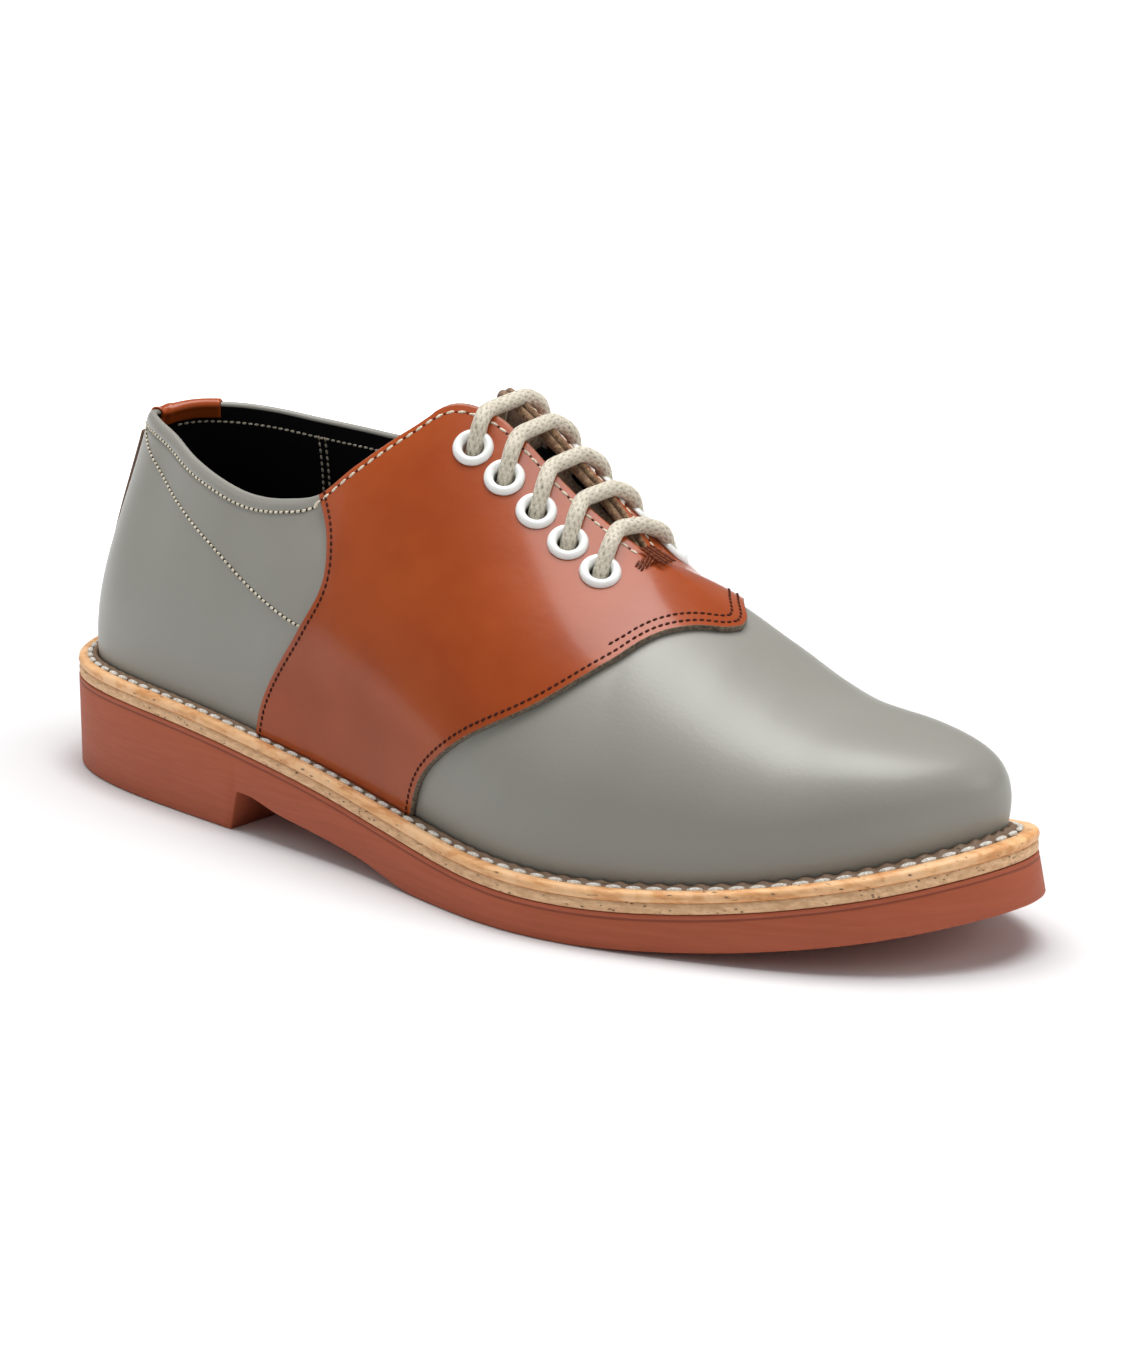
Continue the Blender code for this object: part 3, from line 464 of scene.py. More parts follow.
def skin_normal(side, share, up):
    share = np.atleast_1d(np.asarray(share, float))
    up = np.atleast_1d(np.asarray(up, float))
    a = np.clip(share, 0.004, 0.996)
    b = np.clip(up, 0.01, 0.985)
    by_share = skin(side, a + 0.003, b) - skin(side, a - 0.003, b)
    by_up = skin(side, a, b + 0.008) - skin(side, a, b - 0.008)
    return unit(np.cross(by_share, by_up) * (1 if side == 0 else -1))


def offset_skin(side, share, up, out):
    return skin(side, share, up) + skin_normal(side, share, up) * out


def near(side, target):
    """The skin place over a spot given by its X and Y."""
    share, up = 0.6, 0.8
    step = 0.002
    for _ in range(25):
        here = skin(side, share, up)[0, :2]
        by_share = (skin(side, share + step, up)[0, :2] - here) / step
        by_up = (skin(side, share, up + step)[0, :2] - here) / step
        move = np.linalg.solve(np.array([by_share, by_up]).T, np.asarray(target) - here)
        share = float(np.clip(share + np.clip(move[0], -0.03, 0.03), 0.3, 0.8))
        up = float(np.clip(up + np.clip(move[1], -0.1, 0.1), 0.3, 0.99))
    return share, up


def rounded(corners, radii, pieces=4):
    """A path through the corners with each inner corner rounded off."""
    corners = [np.asarray(c, float) for c in corners]
    path = [corners[0]]
    for before, here, after, radius in zip(corners, corners[1:], corners[2:], radii):
        a = before - here
        b = after - here
        la, lb = np.linalg.norm(a), np.linalg.norm(b)
        a /= la
        b /= lb
        half = math.acos(float(np.clip(a @ b, -1, 1))) / 2
        reach = min(radius / max(math.tan(half), 0.05), 0.49 * la, 0.49 * lb)
        start, stop = here + a * reach, here + b * reach
        for k in range(pieces + 1):
            t = k / pieces
            path.append((1 - t) ** 2 * start + 2 * (1 - t) * t * here + t**2 * stop)
    path.append(corners[-1])
    return path


def tongue_section(share, spread):
    """An evenly divided line across the foot below the facings, from the outer side to the inner side."""
    ups = np.linspace(1 - spread, 0.97, TONGUE_POINTS)
    shares = np.full(TONGUE_POINTS, share)
    outer, inner = (offset_skin(side, shares, ups, -UPPER_WALL - TONGUE_DEPTH) for side in (0, 1))
    inner = inner[::-1]
    a, b = outer[-1], inner[0]
    reach = np.linalg.norm(b - a)
    ways = reach * unit(outer[-1] - outer[-2]), reach * unit(inner[1] - inner[0])
    bridge = [hermite(t, a, b, *ways) for t in (0.25, 0.5, 0.75)]
    line = np.vstack([outer, bridge, inner])
    length = lengths(line)
    return at_lengths(line, length, np.linspace(0, length[-1], TONGUE_POINTS))


def frame_shift():
    """What takes the middle of the sole's box to the origin."""
    loop = sole_loop()
    low, high = loop.min(axis=0), loop.max(axis=0) + (TOE_LEAN, 0.0)
    return -(low + high) / 2


SHIFT = frame_shift()


class Sheet:
    """Collects grids of points into one mesh, joins what meets, and gives each grid a material."""

    def __init__(self):
        self.points = []
        self.faces = []
        self.looks = []

    def grid(self, rows, look=0, flip=False):
        rows = np.asarray(rows, float)
        high, wide = rows.shape[:2]
        base = len(self.points)
        self.points.extend(map(tuple, rows.reshape(-1, 3)))
        looks = np.broadcast_to(look, (high - 1, wide - 1))
        for i in range(high - 1):
            for j in range(wide - 1):
                a = base + i * wide + j
                ring = (a, a + wide, a + wide + 1, a + 1)
                self.faces.append(ring[::-1] if flip else ring)
                self.looks.append(int(looks[i, j]))

    def build(self, name, materials):
        mesh = bpy.data.meshes.new(name)
        mesh.from_pydata(self.points, [], self.faces)
        mesh.polygons.foreach_set("material_index", self.looks)
        work = bmesh.new()
        work.from_mesh(mesh)
        bmesh.ops.remove_doubles(work, verts=work.verts, dist=4e-6)
        bmesh.ops.dissolve_degenerate(work, edges=work.edges, dist=1e-7)
        for face in work.faces:
            face.smooth = True
        work.to_mesh(mesh)
        work.free()
        return place_piece(name, mesh, materials)


def place_piece(name, mesh, materials):
    """Moves a mesh from the sole's own axes to the frame and makes it a piece."""
    mesh.transform(Matrix.Translation((*SHIFT, 0.0)))
    piece = bpy.data.objects.new(name, mesh)
    bpy.context.scene.collection.objects.link(piece)
    for look in materials:
        mesh.materials.append(look)
    return piece


class Value:
    """A number on a surface. Expressions on it add Math nodes."""

    def __init__(self, look, socket):
        self.look = look
        self.socket = socket

    def math(self, operation, *others):
        values = [other.socket if isinstance(other, Value) else other for other in others]
        node = self.look.node("ShaderNodeMath", {"operation": operation}, [self.socket, *values])
        return Value(self.look, node.outputs[0])

    def __add__(self, other):
        return self.math("ADD", other)

    def __radd__(self, other):
        return self.math("ADD", other)

    def __sub__(self, other):
        return self.math("SUBTRACT", other)

    def __rsub__(self, other):
        return (self * -1.0) + other

    def __mul__(self, other):
        return self.math("MULTIPLY", other)

    def step(self, low, high):
        """0 below low, 1 above high and a soft step between."""
        settings = {"interpolation_type": "SMOOTHSTEP"}
        node = self.look.node("ShaderNodeMapRange", settings, [self.socket, low, high, 0.0, 1.0])
        return Value(self.look, node.outputs[0])


class Look:
    """A material with one Principled shader."""

    def __init__(self, name, color, roughness, **constants):
        self.material = bpy.data.materials.new(name)
        self.material.use_nodes = True
        self.tree = self.material.node_tree
        self.shader = self.tree.nodes["Principled BSDF"]
        self.shader.inputs["Base Color"].default_value = (*color, 1.0)
        self.shader.inputs["Roughness"].default_value = roughness
        for socket, value in constants.items():
            self.shader.inputs[socket.replace("_", " ")].default_value = value

    def node(self, kind, settings, values):
        """Adds a node: its settings first, then the values or links of its sockets, in order or by name."""
        node = self.tree.nodes.new(kind)
        for key, setting in settings.items():
            setattr(node, key, setting)
        pairs = values.items() if isinstance(values, dict) else enumerate(values)
        for key, value in pairs:
            socket = node.inputs[key]
            if isinstance(value, Value):
                value = value.socket
            if isinstance(value, bpy.types.NodeSocket):
                self.tree.links.new(value, socket)
            elif value is not None:
                socket.default_value = value
        return node

    def place(self, scale=(1.0, 1.0, 1.0)):
        """Object coordinates stretched by a scale."""
        spot = self.node("ShaderNodeTexCoord", {}, {}).outputs["Object"]
        return self.node("ShaderNodeMapping", {}, {"Vector": spot, "Scale": scale}).outputs[0]

    def noise(self, size, detail=3.0, roughness=0.55, place=None):
        values = {"Vector": place or self.place(), "Scale": 1.0 / size}
        values.update({"Detail": detail, "Roughness": roughness})
        return Value(self, self.node("ShaderNodeTexNoise", {}, values).outputs["Fac"])

    def cells(self, size, place=None):
        """Distance from the middle of the nearest cell."""
        values = {"Vector": place or self.place(), "Scale": 1.0 / size}
        return Value(self, self.node("ShaderNodeTexVoronoi", {"feature": "F1"}, values).outputs["Distance"])

    def attribute(self, name):
        return Value(self, self.node("ShaderNodeAttribute", {"attribute_name": name}, {}).outputs["Fac"])

    def blend(self, share, low, high):
        """A colour between two colours or links."""
        colors = [(*color, 1.0) if isinstance(color, tuple) else color for color in (low, high)]
        settings = {"data_type": "RGBA"}
        node = self.node("ShaderNodeMix", settings, {0: share, 6: colors[0], 7: colors[1]})
        return node.outputs[2]

    def paint(self, color):
        self.tree.links.new(color, self.shader.inputs["Base Color"])

    def feed(self, socket, value):
        self.tree.links.new(value.socket, self.shader.inputs[socket])

    def bump(self, height, distance):
        values = {"Height": height, "Distance": distance, "Strength": 1.0}
        node = self.node("ShaderNodeBump", {}, values)
        self.tree.links.new(node.outputs[0], self.shader.inputs["Normal"])


def grey_leather():
    look = Look("grey_leather", (0.27, 0.262, 0.228), 0.36, Coat_Roughness=0.30, Specular_IOR_Level=0.5)
    broad = look.noise(0.030, 2.0)
    fine = look.noise(0.0011, 3.0)
    pores = look.cells(0.0009)
    look.paint(look.blend(broad, (0.238, 0.232, 0.199), (0.264, 0.257, 0.226)))
    look.feed("Roughness", 0.36 + fine * 0.08 + broad * 0.04)
    look.shader.inputs["Coat Weight"].default_value = 0.15
    look.bump(fine * 0.45 + pores * 0.30 + look.noise(0.006, 2.0) * 0.6, 0.00006)
    return look.material


def tan_leather():
    finish = {"Coat_Roughness": 0.12, "Coat_Weight": 0.30, "Specular_IOR_Level": 0.15}
    look = Look("tan_leather", (0.40, 0.075, 0.014), 0.34, **finish)
    broad = look.noise(0.035, 3.0)
    fine = look.noise(0.0014, 3.0)
    look.paint(look.blend(broad.step(0.3, 0.7), (0.285, 0.046, 0.007), (0.350, 0.063, 0.010)))
    look.feed("Roughness", 0.25 + fine * 0.07 + broad * 0.05)
    look.bump(fine * 0.4 + look.noise(0.007, 2.0) * 1.3, 0.00008)
    return look.material


def grained(look, grain, shades, distance, steps=None):
    """Colours and bumps a finish by one grain; steps sharpen the change of shade."""
    look.paint(look.blend(grain.step(*steps) if steps else grain, *shades))
    look.bump(grain, distance)
    return look.material


# Near facing's folded edge: the tan leather's own colour, painted lighter and pinker as a highlight.
def highlit_fold_edge():
    look = Look("highlit_fold_edge", (0.44, 0.13, 0.05), 0.42, Coat_Roughness=0.25, Coat_Weight=0.25)
    shades = (0.33, 0.085, 0.028), (0.50, 0.17, 0.075)
    return grained(look, look.noise(0.0016, 4.0), shades, 0.00015, (0.35, 0.7))


def raw_edge():
    """The cut edge of the saddle, dyed grey-brown and fuzzy."""
    look = Look("raw_edge", (0.12, 0.085, 0.05), 0.85, Sheen_Weight=0.15)
    shades = (0.055, 0.036, 0.020), (0.21, 0.155, 0.095)
    return grained(look, look.noise(0.0009, 5.0, 0.7), shades, 0.0005, (0.35, 0.68))


def suede_edge():
    """The facings' cut edge."""
    look = Look("suede_edge", (0.30, 0.19, 0.10), 0.9, Sheen_Weight=0.2)
    shades = (0.13, 0.062, 0.028), (0.40, 0.25, 0.13)
    return grained(look, look.noise(0.0011, 5.0, 0.7), shades, 0.0005, (0.34, 0.7))


def black_lining():
    look = Look("black_lining", (0.006, 0.006, 0.0065), 0.8, Specular_IOR_Level=0.12)
    return grained(look, look.noise(0.0012, 3.0), ((0.004, 0.004, 0.0045), (0.010, 0.010, 0.011)), 0.0001)


def tongue_leather():
    look = Look("tongue_leather", (0.52, 0.24, 0.13), 0.5, Coat_Weight=0.1)
    shades = (0.46, 0.19, 0.095), (0.60, 0.30, 0.18)
    return grained(look, look.noise(0.0014, 4.0), shades, 0.0001, (0.3, 0.7))


def strip_leather():
    look = Look("strip_leather", (0.12, 0.055, 0.028), 0.5)
    return grained(look, look.noise(0.0012, 4.0), ((0.085, 0.038, 0.018), (0.17, 0.085, 0.045)), 0.0001)


def welt_leather():
    """Undyed leather: warm, streaked along the shoe, with pits and dark nicks; its inner band beside the
    upper is darkened as painted shade.
    """
    look = Look("welt_leather", (0.62, 0.36, 0.16), 0.55)
    streaks = look.noise(0.0030, 4.0, 0.65, look.place((0.35, 0.8, 1.6)))
    specks = look.cells(0.0021, place=look.place((0.45, 0.8, 1.4)))
    pits = 1.0 - specks.step(0.05, 0.22)
    patches = look.noise(0.009, 3.0)
    dirt = pits * look.noise(0.004, 2.0).step(0.44, 0.56)
    warm = look.blend(streaks.step(0.32, 0.68), (0.64, 0.285, 0.095), (0.87, 0.51, 0.245))
    pale = look.blend(patches.step(0.45, 0.65), warm, (0.86, 0.53, 0.28))
    # Painted shade: the welt's inner band, beside and under the upper, is darkened to near black.
    inner = look.attribute("inner")
    inner_band_shade = look.blend(inner * 0.85, pale, (0.125, 0.085, 0.060))
    look.paint(look.blend(dirt * 0.85, inner_band_shade, (0.085, 0.040, 0.020)))
    look.bump(streaks * 0.6 - pits * 0.8, 0.00035)
    return look.material


def midsole_edge():
    look = Look("midsole_edge", (0.6, 0.42, 0.27), 0.7)
    streaks = look.noise(0.0022, 5.0, 0.7, look.place((0.5, 0.9, 1.6)))
    specks = look.cells(0.0013, place=look.place((0.6, 0.9, 1.3)))
    pits = (1.0 - specks.step(0.10, 0.30)) * look.noise(0.003, 2.0).step(0.44, 0.58)
    body = look.blend(streaks.step(0.3, 0.7), (0.60, 0.34, 0.17), (0.86, 0.56, 0.32))
    look.paint(look.blend(pits * 0.8, body, (0.12, 0.065, 0.035)))
    look.bump(streaks * 0.7 - pits * 0.7, 0.0004)
    return look.material


def brick_rubber():
    """Rubber with faint trimming streaks that run level, and painted shade as a dark line in the groove under
    its top edge.
    """
    look = Look("brick_rubber", (0.38, 0.092, 0.043), 0.62, Specular_IOR_Level=0.3)
    streaks = look.noise(0.010, 4.0, 0.6, look.place((0.5, 0.5, 9.0)))
    fine = look.noise(0.0010, 3.0)
    # Painted shade: a dark line in the groove just under the rubber's top edge.
    below = look.attribute("below_top")
    line = below.step(0.0009, 0.0012) * (1.0 - below.step(0.0014, 0.0018))
    body = look.blend(streaks.step(0.35, 0.68), (0.395, 0.092, 0.041), (0.430, 0.104, 0.048))
    look.paint(look.blend(line * 0.55, body, (0.15, 0.035, 0.02)))
    look.feed("Roughness", 0.50 + fine * 0.2)
    look.bump(streaks * 0.8 + fine * 0.25 - line * 0.5, 0.00012)
    return look.material


def eyelet_enamel():
    look = Look("eyelet_enamel", (0.80, 0.815, 0.79), 0.22, Coat_Weight=0.6, Coat_Roughness=0.06)
    look.bump(look.noise(0.003, 2.0), 0.00006)
    return look.material


def lace_cord():
    """Waxed cotton with grey flecks; the valleys between the braid's strands are darkened as painted shade,
    and the flecks show only there.
    """
    look = Look("lace_cord", (0.60, 0.54, 0.42), 0.62, Sheen_Weight=0.15)
    valley = look.attribute("valley")
    fibre = look.noise(0.0007, 4.0, 0.7)
    fleck = look.noise(0.0021, 3.0).step(0.54, 0.66)
    body = look.blend(fibre.step(0.3, 0.7), (0.47, 0.41, 0.31), (0.72, 0.67, 0.56))
    # Painted shade in the valleys between strands; the grey flecks are weighted by the same valleys.
    shade = look.blend(valley * 0.8, body, (0.20, 0.165, 0.115))
    look.paint(look.blend(fleck * valley * 0.9, shade, (0.08, 0.07, 0.06)))
    look.bump(fibre, 0.00018)
    return look.material


def thread(name, color, dark):
    look = Look(name, color, 0.75, Specular_IOR_Level=0.15)
    return grained(look, look.noise(0.0006, 3.0), (dark, color), 0.0001, (0.35, 0.65))


def pale_floor():
    """Matt white, with a glow well away from the shoe so that the floor stays white to its far edge."""
    look = Look("pale_floor", (0.75, 0.75, 0.755), 0.9, Specular_IOR_Level=0.0, Emission_Strength=1.0)
    spot = look.node("ShaderNodeTexCoord", {}, {}).outputs["Object"]
    away = Value(look, look.node("ShaderNodeVectorMath", {"operation": "LENGTH"}, [spot]).outputs["Value"])
    glow = look.blend(away.step(*FLOOR_GLOW), (0.0, 0.0, 0.0), (0.85, 0.85, 0.85))
    look.tree.links.new(glow, look.shader.inputs["Emission Color"])
    return look.material


def beside(side, shares, ups, distance):
    """The path moved sideways over the skin, to its left as seen from outside the outer side."""
    here = skin(side, shares, ups)
    normal = skin_normal(side, shares, ups)
    left = np.cross(normal, np.gradient(here, axis=0))
    left = unit(left) * distance
    by_share = (skin(side, shares + 0.002, ups) - skin(side, shares - 0.002, ups)) / 0.004
    at = np.minimum(ups, 0.99)
    by_up = (skin(side, shares, at + 0.004) - skin(side, shares, at - 0.004)) / 0.008
    a, b, c = (by_share**2).sum(1), (by_share * by_up).sum(1), (by_up**2).sum(1)
    p, q = (left * by_share).sum(1), (left * by_up).sum(1)
    scale = a * c - b * b
    return shares + (c * p - b * q) / scale, ups + (a * q - b * p) / scale


def rib_reach(side, share):
    """Length of rib per unit of up near the crest."""
    top = skin(side, share, np.full(np.shape(share), 1.0))
    below = skin(side, share, np.full(np.shape(share), 0.96))
    return np.linalg.norm(top - below, axis=1) / 0.04


def below_crest(side, share, distance):
    share = np.atleast_1d(share)
    return 1.0 - distance / rib_reach(side, share)


def share_reach(side, shares, ups):
    """Length of skin per unit of share."""
    step = skin(side, shares + 0.002, ups) - skin(side, shares - 0.002, ups)
    return np.linalg.norm(step, axis=1) / 0.004


def skin_grid(side, shares, ups, out):
    """A grid of skin points, one row for each share; centre back, toe and ridge serve both sides."""
    shares, ups, out = np.broadcast_arrays(shares, ups, out)

    def spots(which, pick):
        picked = offset_skin(which, shares[pick].ravel(), ups[pick].ravel(), out[pick].reshape(-1, 1))
        return picked.reshape(*shares[pick].shape, 3)

    every = np.s_[:, :]
    grid = spots(side, every)
    ridge = np.s_[(shares[:, -1] >= SLIT_END - 1e-6) & (ups[:, -1] > 0.999), -1:]
    ends = np.s_[(shares[:, -1] < 1e-6) | (shares[:, 0] > 1 - 1e-6), :]
    for pick in (ridge, ends):
        if shares[pick].size:
            grid[pick] = (spots(side, pick) + spots(1 - side, pick)) / 2
    return grid


def bead(distance, share):
    """Outward swell of the rolled collar edge, behind the saddle only."""
    t = distance / BEAD_WIDTH
    swell = np.where(t < 1.0, np.sqrt(np.clip(1 - (2 * t - 1) ** 2, 0, 1)) * BEAD_RISE, 0.0)
    crease = -0.00025 * np.exp(-(((distance - 1.08 * BEAD_WIDTH) / 0.0004) ** 2))
    behind = np.clip((COLLAR_END - 0.004 - share) / 0.02, 0, 1)
    return (swell + crease) * behind


def lip_grid(side, shares, wall, out, steps=7):
    """The rounded top edge from the outer to the inner face, one row for each share."""
    shares = shares[:, None]
    out = np.reshape(out, (-1, 1)) if np.ndim(out) else out
    wall = np.reshape(wall, (-1, 1)) if np.ndim(wall) else wall
    first = skin_grid(side, shares, 1.0, out)[:, 0]
    last = skin_grid(side, shares, 1.0, out - wall)[:, 0]
    up_way = unit(first - skin_grid(side, shares, 0.985, out)[:, 0])
    rise = 0.42 * wall * np.clip((SLIT_END - shares) / 0.01, 0, 1)
    rows = []
    for angle in np.linspace(0, math.pi, steps + 1):
        t = (1 - math.cos(angle)) / 2
        rows.append(first * (1 - t) + last * t + up_way * rise * math.sin(angle))
    return np.array(rows).transpose(1, 0, 2)


def with_foot(grid):
    """Adds a row below the foot, down to the welt's own seat."""
    return np.concatenate([grid[:, :1] - (0, 0, WELT_THICKNESS), grid], axis=1)


def make_upper(looks):
    """The lasted upper: outer leather, rolled collar, facing edges and lining, as one hollow form."""
    sheet = Sheet()
    runs = np.linspace(0, 0.40, 70), np.linspace(0.40, SLIT_END, 80), np.linspace(SLIT_END, 1, 90)
    shares = np.unique(np.hstack(runs))
    low_rows = 39
    away = np.r_[np.full(low_rows, 1.0), RIM_STEPS]
    collar_end = COLLAR_END + 0.004
    for side in (0, 1):
        rim = 1 - RIM_STEPS / rib_reach(side, shares)[:, None]
        ups = np.hstack([rim[:, :1] * np.linspace(0, 1, low_rows + 1)[:-1], rim])
        outer = with_foot(skin_grid(side, shares[:, None], ups, bead(away[None, :], shares[:, None])))
        inner = with_foot(skin_grid(side, shares[:, None], ups, -UPPER_WALL))
        open_top = shares <= SLIT_END + 1e-6
        lips = lip_grid(side, shares[open_top], UPPER_WALL, 0.0)
        # Near facing lips take the painted highlight material, far facing lips the suede cut edge.
        facing = np.where(shares[open_top][:-1] < collar_end, 0, 2 + side)[:, None]
        near_slit = (shares > collar_end + 0.05) & (shares < SLIT_END + 0.01)
        lined = np.where(near_slit[:-1, None] & (away[None, :] < 0.012), 3, 1)
        sheet.grid(outer, 0, flip=side == 1)
        sheet.grid(inner, lined, flip=side == 0)
        sheet.grid(lips, facing, flip=side == 1)
        sheet.grid(np.stack([outer[:, 0], inner[:, 0]], axis=1), 1, flip=side == 0)
    return sheet.build("upper_leather", [looks["grey"], looks["lining"], looks["fold_highlight"], looks["suede"]])


def edge_rise(distance, radius):
    t = np.clip(distance / radius, 0, 1)
    return np.sqrt(1 - (1 - t) ** 2)


def saddle_places(between=90, rows=64):
    """Shares and ups of the saddle's grid, a row for each line from rear to front, closer at its edges."""
    tops = 1 - EDGE_STEPS[::-1] / TOP_REACH
    ups = np.r_[np.linspace(0, tops[0] - 0.004, rows), tops]
    rear, front = along_row(REAR_SEAM, ups), along_row(FRONT_SEAM, ups)
    reach = [0.5 * (share_reach(0, seam, ups) + share_reach(1, seam, ups))[:, None] for seam in (rear, front)]
    start = rear[:, None] + EDGE_STEPS / reach[0]
    stop = front[:, None] - EDGE_STEPS[::-1] / reach[1]
    middle = start[:, -1:] + (stop[:, :1] - start[:, -1:]) * np.linspace(0, 1, between)[1:-1]
    return np.hstack([start, middle, stop]).T, ups[None, :]


def make_saddle(looks):
    """The saddle over the instep: folded at the rear and collar, cut along the facings and raw along the
    front.
    """
    sheet = Sheet()
    shares, ups = saddle_places()
    ridge = int(np.argmax(shares[:, -1] >= SLIT_END - 1e-6))
    for side in (0, 1):
        rear_gap = (shares - along_row(REAR_SEAM, ups)) * SHARE_REACH
        front_gap = (along_row(FRONT_SEAM, ups) - shares) * SHARE_REACH
        rise = edge_rise(rear_gap, FOLD_RADIUS) * edge_rise(front_gap, CUT_RADIUS)
        top_gap = np.where(shares[:, -1:] < SLIT_END - 1e-6, (1 - ups) * TOP_REACH, 1.0)
        facing = (shares[:, -1:] > CORNER - 0.012) & (shares[:, -1:] < SLIT_END)
        rise = rise * edge_rise(top_gap, np.where(facing, CUT_RADIUS, FOLD_RADIUS))
        outer = skin_grid(side, shares, ups, SADDLE_SEAT + SADDLE_WALL * rise)
        under = skin_grid(side, shares, ups, SADDLE_SEAT)
        outer[:, 0] += (0, 0, FIT_GAP)
        under[:, 0] += (0, 0, FIT_GAP)
        cut_front = np.arange(len(shares) - 1)[:, None] > len(shares) - 5
        cut_facing = facing[1:] & (np.arange(len(ups[0]) - 1) > len(ups[0]) - 4)
        sheet.grid(outer, np.where(cut_front, 1, np.where(cut_facing, 2, 0)), flip=side == 1)
        sheet.grid(under, 0, flip=side == 0)
        sheet.grid(np.stack([outer[:, 0], under[:, 0]], axis=1), 0, flip=side == 0)
        slit_end = [[outer[ridge - 1, -1]] * 2, [outer[ridge, -1], under[ridge, -1]]]
        sheet.grid(slit_end, 0, flip=side == 1)
    return sheet.build("saddle_leather", [looks["tan"], looks["raw"], looks["suede"]])


def make_layer(name, loop, levels, look, forward=0.0):
    """A sole layer. A level is an inset, a height and what is added, from the under edge to the top edge."""
    sheet = Sheet()
    caps = []
    for side, line in enumerate(by_stations(loop, sole_stations())):
        run = np.gradient(line, axis=0)
        run[0] = run[-1] = (0.0, 1.0)
        run = unit(run)
        inward = np.c_[-run[:, 1], run[:, 0]] * (1 if side == 0 else -1)
        inward[0], inward[-1] = (1.0, 0.0), (-1.0, 0.0)
        x = line[:, 0]
        heights = [height(x) + more for _, height, more in levels]
        reach = forward * np.clip((x / x[-1] - 0.75) / 0.25, 0, 1) ** 2
        wall = []
        for (inset_by, _, _), z in zip(levels, heights):
            lift = np.clip((z - heights[0]) / (heights[-1] - heights[0]), 0, 1)
            spot = line + inward * inset_by
            wall.append(np.c_[spot[:, 0] + reach * (1 - lift), spot[:, 1], z])
        sheet.grid(np.array(wall).transpose(1, 0, 2), 0, flip=side == 1)
        caps.append(wall)
    for level, flip in ((0, True), (-1, False)):
        ends = zip(caps[0][level], caps[1][level])
        sheet.grid([[a * (1 - t) + b * t for t in np.linspace(0, 1, 9)] for a, b in ends], 0, flip=flip)
    return sheet.build(name, [look])


def store(piece, name, values):
    """Stores a number on each point of the piece."""
    layer = piece.data.attributes.new(name, "FLOAT", "POINT")
    layer.data.foreach_set("value", np.array(values, np.float32))


def own_points(piece):
    """The piece's points on the sole's own axes."""
    return np.array([vertex.co[:] for vertex in piece.data.vertices]) - (*SHIFT, 0.0)


def sole_stations():
    """Shares from heel to toe, close together at both round ends, and one at each edge of the breast."""
    ends = (1 - np.cos(np.linspace(0, math.pi, 151))) / 2
    breast = np.array((HEEL_BREAST, HEEL_BREAST + BREAST_SLANT)) / SHOE_LENGTH
    return np.unique(np.round(np.r_[ends, breast], 6))


def make_outsole(look):
    """The rubber, with a fine groove below its top edge."""
    edge = 0.0004
    groove = 0.0012
    levels = (
        (0.0009, rubber_under, 0.0),
        (0.0003, rubber_under, 0.4 * edge),
        (0.0, rubber_under, 1.6 * edge),
        (0.0, rubber_top, -groove - edge),
        (0.00025, rubber_top, -groove),
        (0.0, rubber_top, edge - groove),
        (0.0, rubber_top, -edge),
        (0.4 * edge, rubber_top, 0.0),
    )
    piece = make_layer("rubber_sole", sole_loop(), levels, look, TOE_LEAN)
    points = own_points(piece)
    # Depth below the rubber's top, for the painted shade in its groove.
    store(piece, "below_top", np.clip(rubber_top(points[:, 0]) - points[:, 2], 0, 1))
    return piece


def make_midsole(look):
    low, high = FIT_GAP * 0.3, FIT_GAP + MIDSOLE_THICKNESS + FIT_GAP * 0.6
    bulge = 0.0003
    levels = (
        (0.0006, rubber_top, low),
        (0.0002, rubber_top, low + bulge),
        (0.0001, rubber_top, 0.5 * (low + high)),
        (0.0003, rubber_top, high - bulge),
        (0.0007, rubber_top, high),
    )
    return make_layer("midsole_edge", sole_loop(), levels, look)


def make_insole(look):
    levels = ((0.0, seat, 0.0), (0.0003, seat, INSOLE_THICKNESS))
    return make_layer("insole_sock", feather_loop(2 * FIT_GAP + UPPER_WALL), levels, look)


def make_welt(look):
    """The welt all round, with a stitch channel and a ridge beside the upper that waves at the toe."""
    loop = sole_loop()
    margin = welt_margin(loop[:, 0])
    toe = np.clip((loop[:, 0] / SHOE_LENGTH - 0.55) / 0.25, 0, 1)
    wave = np.sin(2 * math.pi * lengths(loop) / WELT_PITCH) * (0.25 + 0.75 * toe)
    top = seat(loop[:, 0]) + WELT_THICKNESS
    low = seat(loop[:, 0]) - FIT_GAP
    edge = 0.0005
    lines = (
        (0.0007, low),
        (0.0002, low + edge),
        (0.0, 0.5 * (low + top)),
        (0.0002, top - edge),
        (0.0008, top),
        ((WELT_CHANNEL - 0.17) * margin, top),
        ((WELT_CHANNEL - 0.12) * margin, top - 0.0002),
        (WELT_CHANNEL * margin, top - 0.0007),
        ((WELT_CHANNEL + 0.12) * margin, top - 0.0002 + 0.0001 * wave),
        ((WELT_CHANNEL + 0.20) * margin, top + 0.0004 + 0.0003 * wave),
        (0.90 * margin - 0.0002 * wave, top + 0.0005 + 0.0004 * wave),
        (margin + 0.0001, top - 0.0002),
        (margin + 0.0001, low),
    )
    rings = []
    for depth, height in (*lines, lines[0]):
        ring = np.c_[inset(loop, depth), height]
        rings.append(np.vstack([ring, ring[:1]]))
    sheet = Sheet()
    sheet.grid(np.array(rings), 0, flip=True)
    piece = sheet.build("welt_leather", [look])
    spots = own_points(piece)[:, :2]
    gaps = [math.sqrt(((loop - spot) ** 2).sum(axis=1).min()) for spot in spots]
    # How far in from the welt's edge each point lies, for the painted shade beside the upper.
    store(piece, "inner", np.clip((gaps / welt_margin(spots[:, 0]) - 0.42) / 0.2, 0, 1))
    return piece


